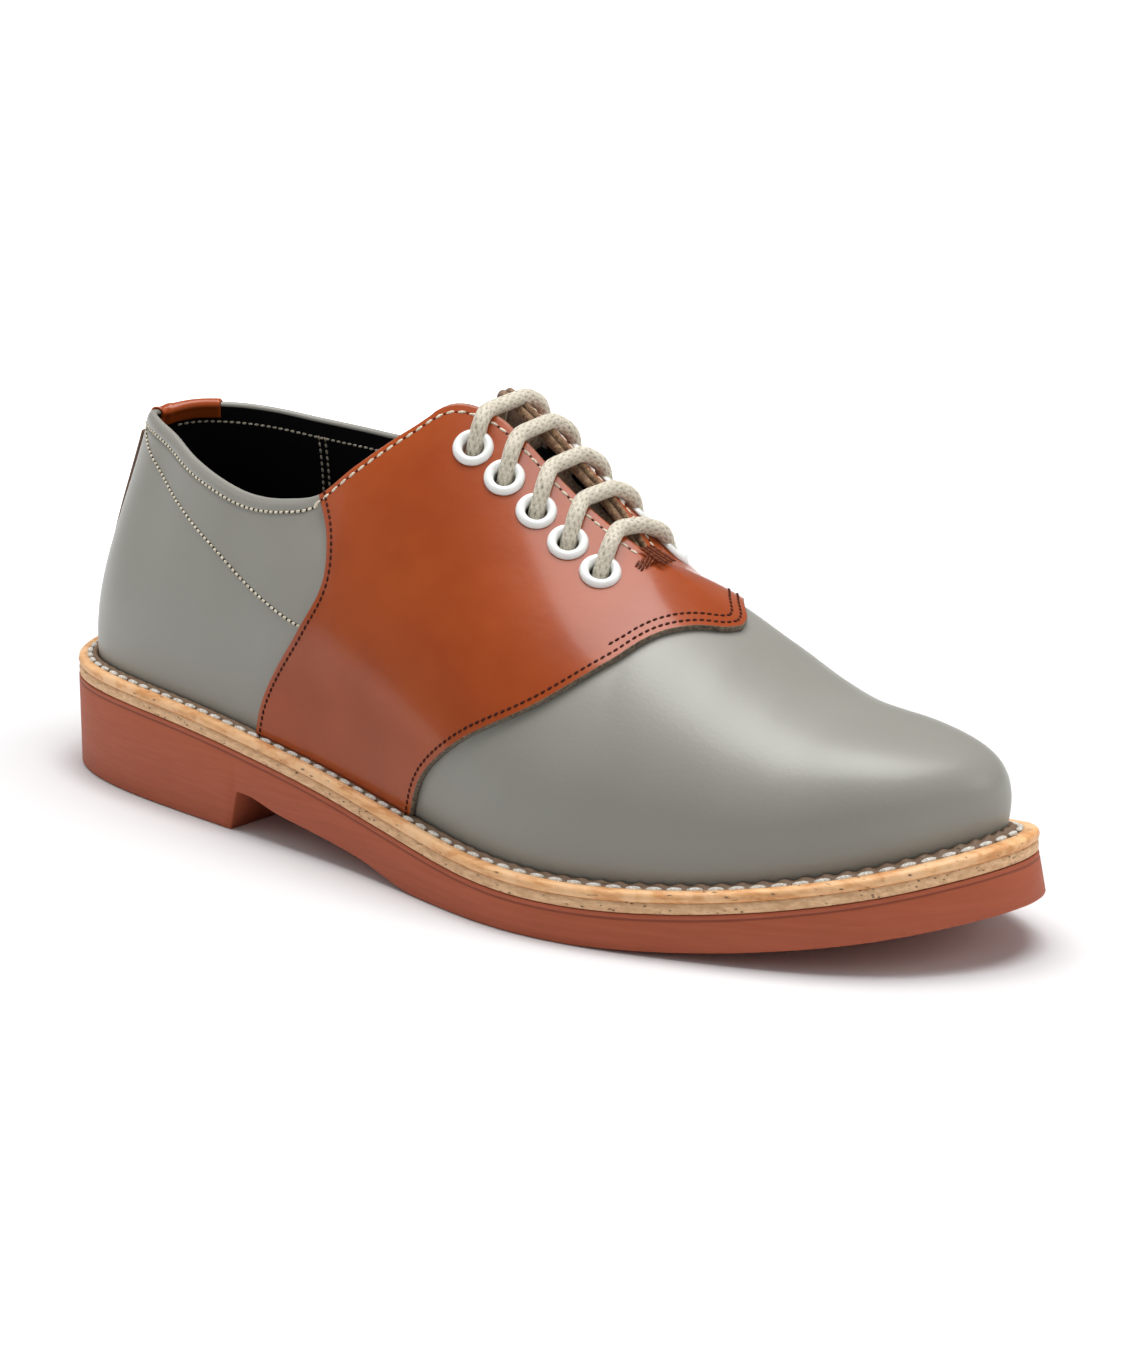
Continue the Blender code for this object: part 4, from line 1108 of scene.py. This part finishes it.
def ways_around(normal, count):
    """Ways at right angles to a normal, the last one the first again."""
    across = unit(np.cross((1.0, 0.0, 0.0), normal))
    turns = 2 * math.pi * np.arange(count + 1)[:, None] / count
    return across * np.cos(turns) + np.cross(normal, across) * np.sin(turns)


def spun(name, profile, place, normal, look):
    """A closed profile of radius and height spun about the normal."""
    rows = []
    for way in ways_around(normal, 40):
        rows.append([place + way * radius + normal * height for radius, height in [*profile, profile[0]]])
    sheet = Sheet()
    sheet.grid(rows, flip=True)
    return sheet.build(name, [look])


def eyelet_places():
    """Rows 1 to 5 from the slit's end upward, outer side first: share, up, point and normal."""
    places = []
    for i in range(EYELET_COUNT):
        x = SHOE_LENGTH * (EYELET_ROWS_X[0] + (EYELET_ROWS_X[1] - EYELET_ROWS_X[0]) * i / (EYELET_COUNT - 1))
        row = []
        for side in (0, 1):
            y = BALL_WIDTH * EYELET_CENTRE + (-0.5 if side == 0 else 0.5) * EYELET_SPREAD
            share, up = near(side, (x, y))
            row.append((share, up, skin(side, share, up)[0], skin_normal(side, share, up)[0]))
        places.append(row)
    return places


def make_eyelets(places, look):
    """Round-section enamelled rings with a short barrel, named as their nodes."""
    pieces = {}
    middle = EYELET_OUTER - EYELET_SECTION
    for i, row in enumerate(places):
        for side, (_, _, place, normal) in enumerate(row):
            label = f"{'outer' if side == 0 else 'inner'}_{i + 1}"
            profile = [(EYELET_BORE - 0.0001, -UPPER_WALL)]
            for k in range(13):
                angle = math.pi * k / 12
                crown = RING_FOOT - 0.0002 + EYELET_SECTION * EYELET_CROWN * math.sin(angle)
                profile.append((middle - EYELET_SECTION * math.cos(angle), crown))
            barrel = EYELET_BORE + BARREL_WALL
            profile += [(barrel, RING_FOOT - 0.0004), (barrel, -UPPER_WALL)]
            pieces[label] = spun(f"ring_{label}", profile, place, normal, look)
    return pieces


def cut_holes(piece, places):
    """Cuts the eyelet holes through a piece."""
    sheet = Sheet()
    for row in places:
        for _, _, place, normal in row:
            ring = place + ways_around(normal, 20) * HOLE_RADIUS
            top, low = ring + normal * 0.006, ring - normal * 0.0045
            ends = [np.tile(low.mean(axis=0), (21, 1)), low, top, np.tile(top.mean(axis=0), (21, 1))]
            sheet.grid(ends, 0, flip=True)
    cutter = sheet.build("hole_cutter", [])
    cut = piece.modifiers.new("holes", "BOOLEAN")
    cut.operation = "DIFFERENCE"
    cut.solver = "EXACT"
    cut.object = cutter
    apply_modifiers(piece)
    bpy.data.objects.remove(cutter, do_unlink=True)


def apply_modifiers(piece):
    """Puts the modifiers' result into the piece's mesh."""
    bpy.context.view_layer.update()
    graph = bpy.context.evaluated_depsgraph_get()
    result = bpy.data.meshes.new_from_object(piece.evaluated_get(graph))
    piece.modifiers.clear()
    piece.data = result


def add_wall(piece, thickness):
    """Gives a sheet its thickness."""
    solid = piece.modifiers.new("wall", "SOLIDIFY")
    solid.thickness = thickness
    solid.offset = -1
    apply_modifiers(piece)
    return piece


def lace_route(places):
    """The cord's corners through all eyelets: five bars over the facings, runs to the next rows beneath."""
    clear = SADDLE_TOP + 0.7 * LACE_RADIUS
    above = RING_FOOT + EYELET_SECTION * EYELET_CROWN + LACE_RADIUS * 0.5
    below = UPPER_WALL + LACE_RADIUS + 5 * FIT_GAP

    def over(row, side):
        _, _, place, normal = places[row - 1][side]
        return place + normal * above

    def edge(row, side):
        share = places[row - 1][side][0]
        return offset_skin(side, [share], [0.99], clear)[0]

    def past(row, side):
        normal = places[row - 1][side][3]
        way = edge(row, side) - over(row, side)
        way -= normal * (way @ normal)
        return over(row, side) + way / np.linalg.norm(way) * EYELET_OUTER * 1.25

    def mouth(row, side):
        return places[row - 1][side][2] - (past(row, side) - over(row, side)) * 0.07

    def bar(row, first):
        last = 1 - first
        near_side = [mouth(row, first), past(row, first), edge(row, first)]
        return [*near_side, edge(row, last), past(row, last), mouth(row, last)]

    def under(row, side, shift):
        _, _, place, normal = places[row - 1][side]
        ahead = min(row, EYELET_COUNT - 1)
        run = places[ahead][side][2] - places[ahead - 1][side][2]
        run /= np.linalg.norm(run)
        outward = np.cross(run, normal) * (1 if side == 0 else -1)
        return place - normal * below + outward * shift

    lane = 2.3 * LACE_RADIUS
    return [
        0.5 * (under(5, 0, -lane) + under(4, 0, -lane)),
        under(4, 0, 0.0),
        *bar(4, 0),
        under(4, 1, 0.0),
        under(3, 1, -lane),
        under(2, 1, 0.0),
        *bar(2, 1),
        under(2, 0, 0.0),
        under(1, 0, 0.0),
        *bar(1, 0),
        under(1, 1, 0.0),
        under(2, 1, lane),
        under(3, 1, 0.0),
        *bar(3, 1),
        under(3, 0, 0.0),
        under(4, 0, lane),
        under(5, 0, 0.0),
        *bar(5, 0),
        under(5, 1, 0.0),
    ]


def resample(path, step):
    """The path with points about a step apart."""
    path = np.asarray(path, float)
    length = lengths(path)
    count = max(2, int(round(length[-1] / step)) + 1)
    return at_lengths(path, length, np.linspace(0, length[-1], count))


def softened(path, rounds):
    """The path with its bends eased, its ends kept."""
    path = np.array(path, float)
    for _ in range(rounds):
        path[1:-1] = 0.25 * path[:-2] + 0.5 * path[1:-1] + 0.25 * path[2:]
    return path


def make_lace(places, look):
    """A round braided cord: a tube whose radius follows two sets of crossing strands."""
    corners = lace_route(places)
    path = rounded(corners, [LACE_TURN] * (len(corners) - 2), pieces=8)
    path = softened(resample(path, LACE_STEP), 14)
    run = unit(np.gradient(path, axis=0))
    side_way = np.cross(run[0], (0.0, 0.0, 1.0))
    rows, valleys = [], []
    around = 48
    for spot, way, length in zip(path, run, lengths(path)):
        side_way = unit(side_way - way * (side_way @ way))
        other = np.cross(way, side_way)
        turn = 4 * math.pi * length / BRAID_PITCH
        row = []
        for j in range(around + 1):
            angle = 2 * math.pi * j / around
            first = abs(math.sin(0.5 * (BRAID_STRANDS * angle + turn)))
            second = abs(math.sin(0.5 * (BRAID_STRANDS * angle - turn)))
            over_first = math.sin(BRAID_STRANDS * angle) * math.sin(turn) > 0
            strand = first if over_first else second
            radius = LACE_RADIUS * (BRAID_VALLEY + BRAID_SWELL * strand**0.5)
            row.append(spot + (side_way * math.cos(angle) + other * math.sin(angle)) * radius)
            valleys.append((1 - strand) ** 1.6)
        rows.append(row)
    start = [path[0]] * (around + 1)
    stop = [path[-1]] * (around + 1)
    sheet = Sheet()
    sheet.grid([start, *rows, stop], flip=True)
    piece = sheet.build("lace_cord", [look])
    tree = KDTree(len(valleys))
    for k, point in enumerate(np.array(rows).reshape(-1, 3) + (*SHIFT, 0.0)):
        tree.insert(point, k)
    tree.balance()
    # How deep each point lies between strands, for the painted shade in the valleys.
    store(piece, "valley", [valleys[tree.find(vertex.co)[1]] for vertex in piece.data.vertices])
    return piece


def make_tongue(look):
    """A plain leather tongue under the facings, with a scalloped tip."""
    rows = [tongue_section(share, spread) for share, spread in zip(TONGUE_SHARES, TONGUE_SPREADS)]
    last = np.array(rows[-1])
    way = np.array(TONGUE_TIP_WAY)
    middle = last.mean(axis=0)
    for rise in TONGUE_RISE:
        row = middle + (last - middle) * (1.0, 1 - TIP_NARROWING * rise, 1.0) + way * rise
        row[:, 2] -= TIP_DROP * rise
        rows.append(row)
    rows = np.array([resample(row, lengths(row)[-1] / 60)[:61] for row in rows])
    fine = []
    for a, b in zip(rows, rows[1:]):
        fine.extend(a * (1 - t) + b * t for t in np.linspace(0, 1, 6, endpoint=False))
    fine = softened([*fine, rows[-1]], 6)
    reach = np.linspace(0, 1, fine.shape[1])
    scallop = SCALLOP * np.abs(np.sin(reach * math.pi * SCALLOP_COUNT)) * np.sin(reach * math.pi)
    fine[-1] += way * scallop[:, None]
    fine[-2] += way * scallop[:, None] * 0.4
    sheet = Sheet()
    sheet.grid(fine, 0, flip=True)
    return add_wall(sheet.build("tongue_leather", [look]), TONGUE_WALL * 0.8)


def make_backstrip(look):
    """The thin strip over the centre back seam."""
    sheet = Sheet()
    steps = np.array((0.003, 0.0015, 0.0005, 0.0))
    half = np.r_[np.linspace(0, STRIP_SHARE - steps[0], 12)[:-1], STRIP_SHARE - steps][:, None]
    ups = np.linspace(0.0, 0.93, 60)[None, :]
    rise = edge_rise((STRIP_SHARE - half) * SHARE_REACH, 0.0005)
    for side in (0, 1):
        outer = skin_grid(side, half, ups, SADDLE_SEAT + STRIP_WALL * 0.8 * rise)
        under = skin_grid(side, half, ups, SADDLE_SEAT)
        sheet.grid(outer, 0, flip=side == 1)
        sheet.grid(under, 0, flip=side == 0)
        for level in (0, -1):
            ends = np.stack([outer[:, level], under[:, level]], axis=1)
            sheet.grid(ends, 0, flip=(side == 0) == (level == 0))
    return sheet.build("back_strip", [look])


def make_heel_pull(look):
    """The band wrapped over the collar, with a small crease across it."""
    parts = []
    for side, shares in ((0, np.linspace(-PULL_FROM, 0.0, 12)), (1, np.linspace(0.0, PULL_TO, 40)[1:])):
        signed = shares * (1 if side else -1)
        end = np.minimum(signed - PULL_FROM, PULL_TO - signed) * SHARE_REACH
        crease = PULL_CREASE * np.exp(-(((signed - 0.012) / 0.006) ** 2))
        swell = (PULL_SWELL * edge_rise(end, FOLD_RADIUS) + crease)[:, None]
        reach = rib_reach(side, shares)[:, None]
        low = np.where(PULL_OUTSIDE < PULL_OUTSIDE[0], swell, 0.0) + BEAD_RISE + 0.0002
        high = -UPPER_WALL - 0.0002 - np.where(PULL_INSIDE < PULL_INSIDE[-1], swell, 0.0)
        over = lip_grid(side, shares, UPPER_WALL + 2 * swell + 0.0008, swell + 0.0004)
        front = skin_grid(side, shares[:, None], 1 - PULL_OUTSIDE / reach, low)
        back = skin_grid(side, shares[:, None], 1 - PULL_INSIDE / reach, high)
        parts.append(np.concatenate([front, over, back], axis=1))
    sheet = Sheet()
    sheet.grid(np.concatenate(parts), 0, flip=True)
    return add_wall(sheet.build("heel_band", [look]), PULL_SHEET)


def stitch_tree():
    """Stitches on the points of a mesh, each along its own run and on its own surface."""
    tree = bpy.data.node_groups.new("stitch_rows", "GeometryNodeTree")
    face = tree.interface
    face.new_socket("Geometry", in_out="INPUT", socket_type="NodeSocketGeometry")
    for name in ("Length", "Width", "Height"):
        face.new_socket(name, in_out="INPUT", socket_type="NodeSocketFloat")
    face.new_socket("Thread", in_out="INPUT", socket_type="NodeSocketMaterial")
    face.new_socket("Geometry", in_out="OUTPUT", socket_type="NodeSocketGeometry")

    def node(kind, settings=(), **values):
        made = tree.nodes.new(kind)
        for key, setting in dict(settings).items():
            setattr(made, key, setting)
        for key, value in values.items():
            socket = made.inputs[key.replace("_", " ")]
            if isinstance(value, bpy.types.NodeSocket):
                tree.links.new(value, socket)
            else:
                socket.default_value = value
        return made

    entry = node("NodeGroupInput")
    ball = node("GeometryNodeMeshUVSphere", Segments=8, Rings=6, Radius=0.5)
    sides = {axis: entry.outputs[name] for axis, name in zip("XYZ", ("Length", "Width", "Height"))}
    size = node("ShaderNodeCombineXYZ", **sides)
    stitch = node("GeometryNodeTransform", Geometry=ball.outputs["Mesh"], Scale=size.outputs[0])
    along = node("GeometryNodeInputNamedAttribute", {"data_type": "FLOAT_VECTOR"}, Name="along")
    out = node("GeometryNodeInputNamedAttribute", {"data_type": "FLOAT_VECTOR"}, Name="out")
    turn = node("FunctionNodeAxesToRotation", {"primary_axis": "X", "secondary_axis": "Z"})
    tree.links.new(along.outputs["Attribute"], turn.inputs[0])
    tree.links.new(out.outputs["Attribute"], turn.inputs[1])
    spread = node("GeometryNodeInstanceOnPoints", Points=entry.outputs["Geometry"], Rotation=turn.outputs[0])
    tree.links.new(stitch.outputs["Geometry"], spread.inputs["Instance"])
    real = node("GeometryNodeRealizeInstances", Geometry=spread.outputs[0])
    soft = node("GeometryNodeSetShadeSmooth", Geometry=real.outputs[0])
    dressed = node("GeometryNodeSetMaterial", Geometry=soft.outputs[0], Material=entry.outputs["Thread"])
    leave = node("NodeGroupOutput")
    tree.links.new(dressed.outputs[0], leave.inputs[0])
    return tree


def stitch_row(points, normals, pitch, slant=0.12):
    """Centres, runs and outward ways of stitches at an even pitch along a path."""
    length = lengths(points)
    even = np.linspace(0, length[-1], max(2, int(round(length[-1] / pitch)) + 1))
    spots = at_lengths(points, length, even)
    normals = unit(at_lengths(normals, length, even))
    run = unit(np.gradient(spots, axis=0))
    return spots, run + np.cross(normals, run) * slant, normals


def make_stitches(name, tree, rows, size, thread_look):
    spots, runs, outs = (np.vstack([row[k] for row in rows]) for k in range(3))
    mesh = bpy.data.meshes.new(name)
    mesh.from_pydata([tuple(p) for p in spots], [], [])
    for key, values in (("along", runs), ("out", outs)):
        layer = mesh.attributes.new(key, "FLOAT_VECTOR", "POINT")
        layer.data.foreach_set("vector", values.astype(np.float32).ravel())
    piece = place_piece(name, mesh, [])
    made = piece.modifiers.new("stitches", "NODES")
    made.node_group = tree
    sockets = {item.name: item.identifier for item in tree.interface.items_tree if item.in_out == "INPUT"}
    for key, value in zip(("Length", "Width", "Height"), size):
        made[sockets[key]] = value
    made[sockets["Thread"]] = thread_look
    apply_modifiers(piece)
    return piece


def between(rows):
    """The places where the thread goes in, halfway from stitch to stitch."""
    return [tuple(0.5 * (part[1:] + part[:-1]) for part in row) for row in rows]


def skin_row(side, shares, ups, out):
    ups = np.clip(ups, 0, 1)
    return stitch_row(offset_skin(side, shares, ups, out), skin_normal(side, shares, ups), THREAD_PITCH)


def collar_rows():
    """The row under the collar's bead and the counter's row, on both sides."""
    shares = np.linspace(0.028, COLLAR_END - 0.002, 160)
    counter = np.linspace(COUNTER_LINE[0][0], COUNTER_LINE[-1][0], 80)
    rows = [skin_row(side, shares, below_crest(side, shares, COLLAR_ROW), STITCH_LIFT) for side in (0, 1)]
    rows += [skin_row(side, counter, along_row(COUNTER_LINE, counter), STITCH_LIFT) for side in (0, 1)]
    return rows


def lining_row(side, shares, ups):
    points = offset_skin(side, shares, ups, -UPPER_WALL - LINING_LIFT)
    return stitch_row(points, -skin_normal(side, shares, ups), THREAD_PITCH)


def lining_rows():
    """The row under the collar, inside, and the two rows of the lining's own seam."""
    rows = []
    shares = np.linspace(0.03, 0.50, 160)
    ups = np.linspace(0.45, 0.93, 60)
    for side in (0, 1):
        rows.append(lining_row(side, shares, below_crest(side, shares, LINING_ROW)))
        for shift in (-LINING_PAIR, LINING_PAIR):
            rows.append(lining_row(side, np.full(60, LINING_SEAM + shift), ups))
    return rows


def saddle_top_rows():
    """Cream rows along the saddle's collar edge and down both facings."""
    rows = []
    shares = np.linspace(COLLAR_END + 0.004, SLIT_END - 0.012, 260)
    for side in (0, 1):
        ups = np.minimum(below_crest(side, shares, SADDLE_ROW), 0.985)
        line = softened(offset_skin(side, shares, ups, SADDLE_TOP), 10)
        rows.append(stitch_row(line, skin_normal(side, shares, ups), TOP_PITCH))
    return rows


def seam_rows():
    """Dark rows beside the rear and the front seam, and the second front row near the ridge."""
    rows = []
    whole = np.linspace(0.0, 0.985, 160)
    upper_part = np.linspace(0.66, 0.985, 80)
    seams = (
        (REAR_SEAM, whole, -REAR_ROW),
        (FRONT_SEAM, whole, FRONT_ROW),
        (FRONT_SEAM, upper_part, SECOND_ROW),
    )
    for side in (0, 1):
        turn = 1 if side == 0 else -1
        for seam, ups, distance in seams:
            shares, moved = beside(side, along_row(seam, ups), ups, turn * distance)
            short = moved < 0.996
            rows.append(skin_row(side, shares[short], moved[short], SADDLE_TOP))
    return rows


def welt_rows():
    loop = sole_loop()
    flat = inset(loop, WELT_CHANNEL * welt_margin(loop[:, 0]))
    points = np.c_[flat, seat(loop[:, 0]) + WELT_THICKNESS - 0.0002]
    points = np.vstack([points, points[:1]])
    return [stitch_row(points, np.tile((0.0, 0.0, 1.0), (len(points), 1)), WELT_PITCH, 0.05)]


def tack_rows():
    """The bar tack across the slit's end: strands across the foot, bound by short ones."""
    ridge = np.array([[SLIT_END + 0.004], [SLIT_END + 0.03]])
    centre, ahead = skin_grid(0, ridge, 1.0, RING_FOOT)[:, 0]
    run = unit(ahead - centre)
    across = np.array((0.0, 1.0, 0.0))
    normal = np.cross(run, across)
    share = np.linspace(-0.5, 0.5, 9)[:, None]
    lines = []
    for shift in (-0.0009, 0.0, 0.0009):
        bow = 0.0004 - 0.0016 * (2 * share) ** 2
        lines.append(centre + run * shift + across * TACK_WIDTH * share + normal * bow)
    for shift in (-0.0020, -0.0007, 0.0007, 0.0020):
        lines.append(centre + across * shift + run * TACK_LENGTH * share + normal * 0.0008)
    return [stitch_row(line, np.tile(normal, (len(line), 1)), TACK_PITCH, TACK_SLANT) for line in lines]


def make_floor(look):
    corners = [(x * FLOOR_REACH, y * FLOOR_REACH, 0) for x, y in ((-1, -1), (1, -1), (1, 1), (-1, 1))]
    mesh = bpy.data.meshes.new("floor")
    mesh.from_pydata(corners, [], [(0, 1, 2, 3)])
    floor = bpy.data.objects.new("floor", mesh)
    bpy.context.scene.collection.objects.link(floor)
    mesh.materials.append(look)
    return floor


def area_light(name, place, size, power):
    data = bpy.data.lights.new(name, "AREA")
    data.shape = "RECTANGLE"
    data.size, data.size_y = size
    data.energy = power
    lamp = bpy.data.objects.new(name, data)
    lamp.location = place
    lamp.rotation_euler = (Vector(LIGHT_TARGET) - Vector(place)).to_track_quat("-Z", "Y").to_euler()
    bpy.context.scene.collection.objects.link(lamp)


def make_light():
    """Soft studio light from above, with a weak one at each side."""
    world = bpy.data.worlds.new("studio")
    bpy.context.scene.world = world
    world.use_nodes = True
    backdrop = world.node_tree.nodes["Background"]
    backdrop.inputs["Color"].default_value = (1.0, 1.0, 1.0, 1.0)
    backdrop.inputs["Strength"].default_value = WORLD_LIGHT
    for light in LIGHTS:
        area_light(*light)


def make_camera():
    """The photograph's camera: its turn and height about a point of the shoe, and its crop as a shift."""
    a, e = CAMERA_AZIMUTH, CAMERA_ELEVATION
    back = Vector((math.sin(a) * math.cos(e), -math.cos(a) * math.cos(e), math.sin(e)))
    right = Vector((math.cos(a), math.sin(a), 0.0))
    up = back.cross(right)
    width, height = PHOTO_SIZE
    data = bpy.data.cameras.new("photo_camera")
    data.sensor_width = SENSOR
    data.lens = FOCAL_PIXELS * SENSOR / height
    data.shift_x = (width / 2 - AXIS_PIXEL[0]) / height
    data.shift_y = (AXIS_PIXEL[1] - height / 2) / height
    data.clip_start = 0.01
    camera = bpy.data.objects.new("photo_camera", data)
    turn = Matrix((right, up, back)).transposed().to_4x4()
    target = Vector(CAMERA_TARGET) + Vector((*SHIFT, 0.0))
    bpy.context.scene.view_settings.view_transform = "Standard"
    camera.matrix_world = Matrix.Translation(target + back * CAMERA_DISTANCE) @ turn
    bpy.context.scene.collection.objects.link(camera)
    bpy.context.scene.camera = camera


def dress(piece, slot, *nodes):
    """Lets a piece ride on the shoe and stand for its nodes."""
    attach(piece, "root")
    if nodes:
        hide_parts(*nodes)


def main():
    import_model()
    make_camera()
    make_light()
    make_floor(pale_floor())
    looks = {
        "grey": grey_leather(),
        "tan": tan_leather(),
        "fold_highlight": highlit_fold_edge(),
        "raw": raw_edge(),
        "suede": suede_edge(),
        "lining": black_lining(),
    }
    places = eyelet_places()
    upper = make_upper(looks)
    cut_holes(upper, places)
    dress(upper, "grey_leather", "upper")
    saddle = make_saddle(looks)
    cut_holes(saddle, places)
    dress(saddle, "tan_leather", "saddle")
    dress(make_outsole(brick_rubber()), "rubber_sole", "outsole")
    dress(make_midsole(midsole_edge()), "midsole", "midsole")
    dress(make_welt(welt_leather()), "welt", "welt")
    dress(make_insole(looks["lining"]), "lining", "insole")
    for label, ring in make_eyelets(places, eyelet_enamel()).items():
        dress(ring, "eyelet_enamel", f"eyelet_{label}")
    dress(make_lace(places, lace_cord()), "lace_cotton", "lace")
    dress(make_tongue(tongue_leather()), "tan_tongue", "tongue")
    dress(make_backstrip(strip_leather()), "brown_strip", "backstrip")
    dress(make_heel_pull(looks["tan"]), "tan_leather", "heel_pull")
    cream = thread("cream_thread", (0.78, 0.72, 0.58), (0.50, 0.44, 0.33))
    brown = thread("brown_thread", (0.070, 0.014, 0.006), (0.028, 0.007, 0.004))
    # Dark discs at the needle holes stand for the shade in the holes: painted shade.
    dark = thread("needle_hole_shade", (0.035, 0.028, 0.022), (0.015, 0.012, 0.010))
    tack = thread("tack_thread", (0.24, 0.065, 0.028), (0.11, 0.03, 0.014))
    white = thread("welt_thread", (0.80, 0.78, 0.73), (0.52, 0.48, 0.42))
    collar, saddle_top = collar_rows(), saddle_top_rows()
    tree = stitch_tree()
    for name, rows, size, yarn, slot in (
        ("collar_stitches", collar, THREAD, cream, "grey_leather"),
        # The hole rows are dark discs of painted shade between the stitches.
        ("collar_hole_shade", between(collar), THREAD_HOLE, dark, "grey_leather"),
        ("lining_stitches", lining_rows(), THREAD, cream, "lining"),
        ("saddle_top_stitches", saddle_top, TOP_THREAD, cream, "tan_leather"),
        ("saddle_top_hole_shade", between(saddle_top), THREAD_HOLE, brown, "tan_leather"),
        ("seam_stitches", seam_rows(), THREAD, brown, "tan_leather"),
        ("bar_tack", tack_rows(), TACK_THREAD, tack, "tan_leather"),
        ("welt_stitches", welt_rows(), WELT_THREAD, white, "welt"),
    ):
        dress(make_stitches(name, tree, rows, size, yarn), slot)


main()
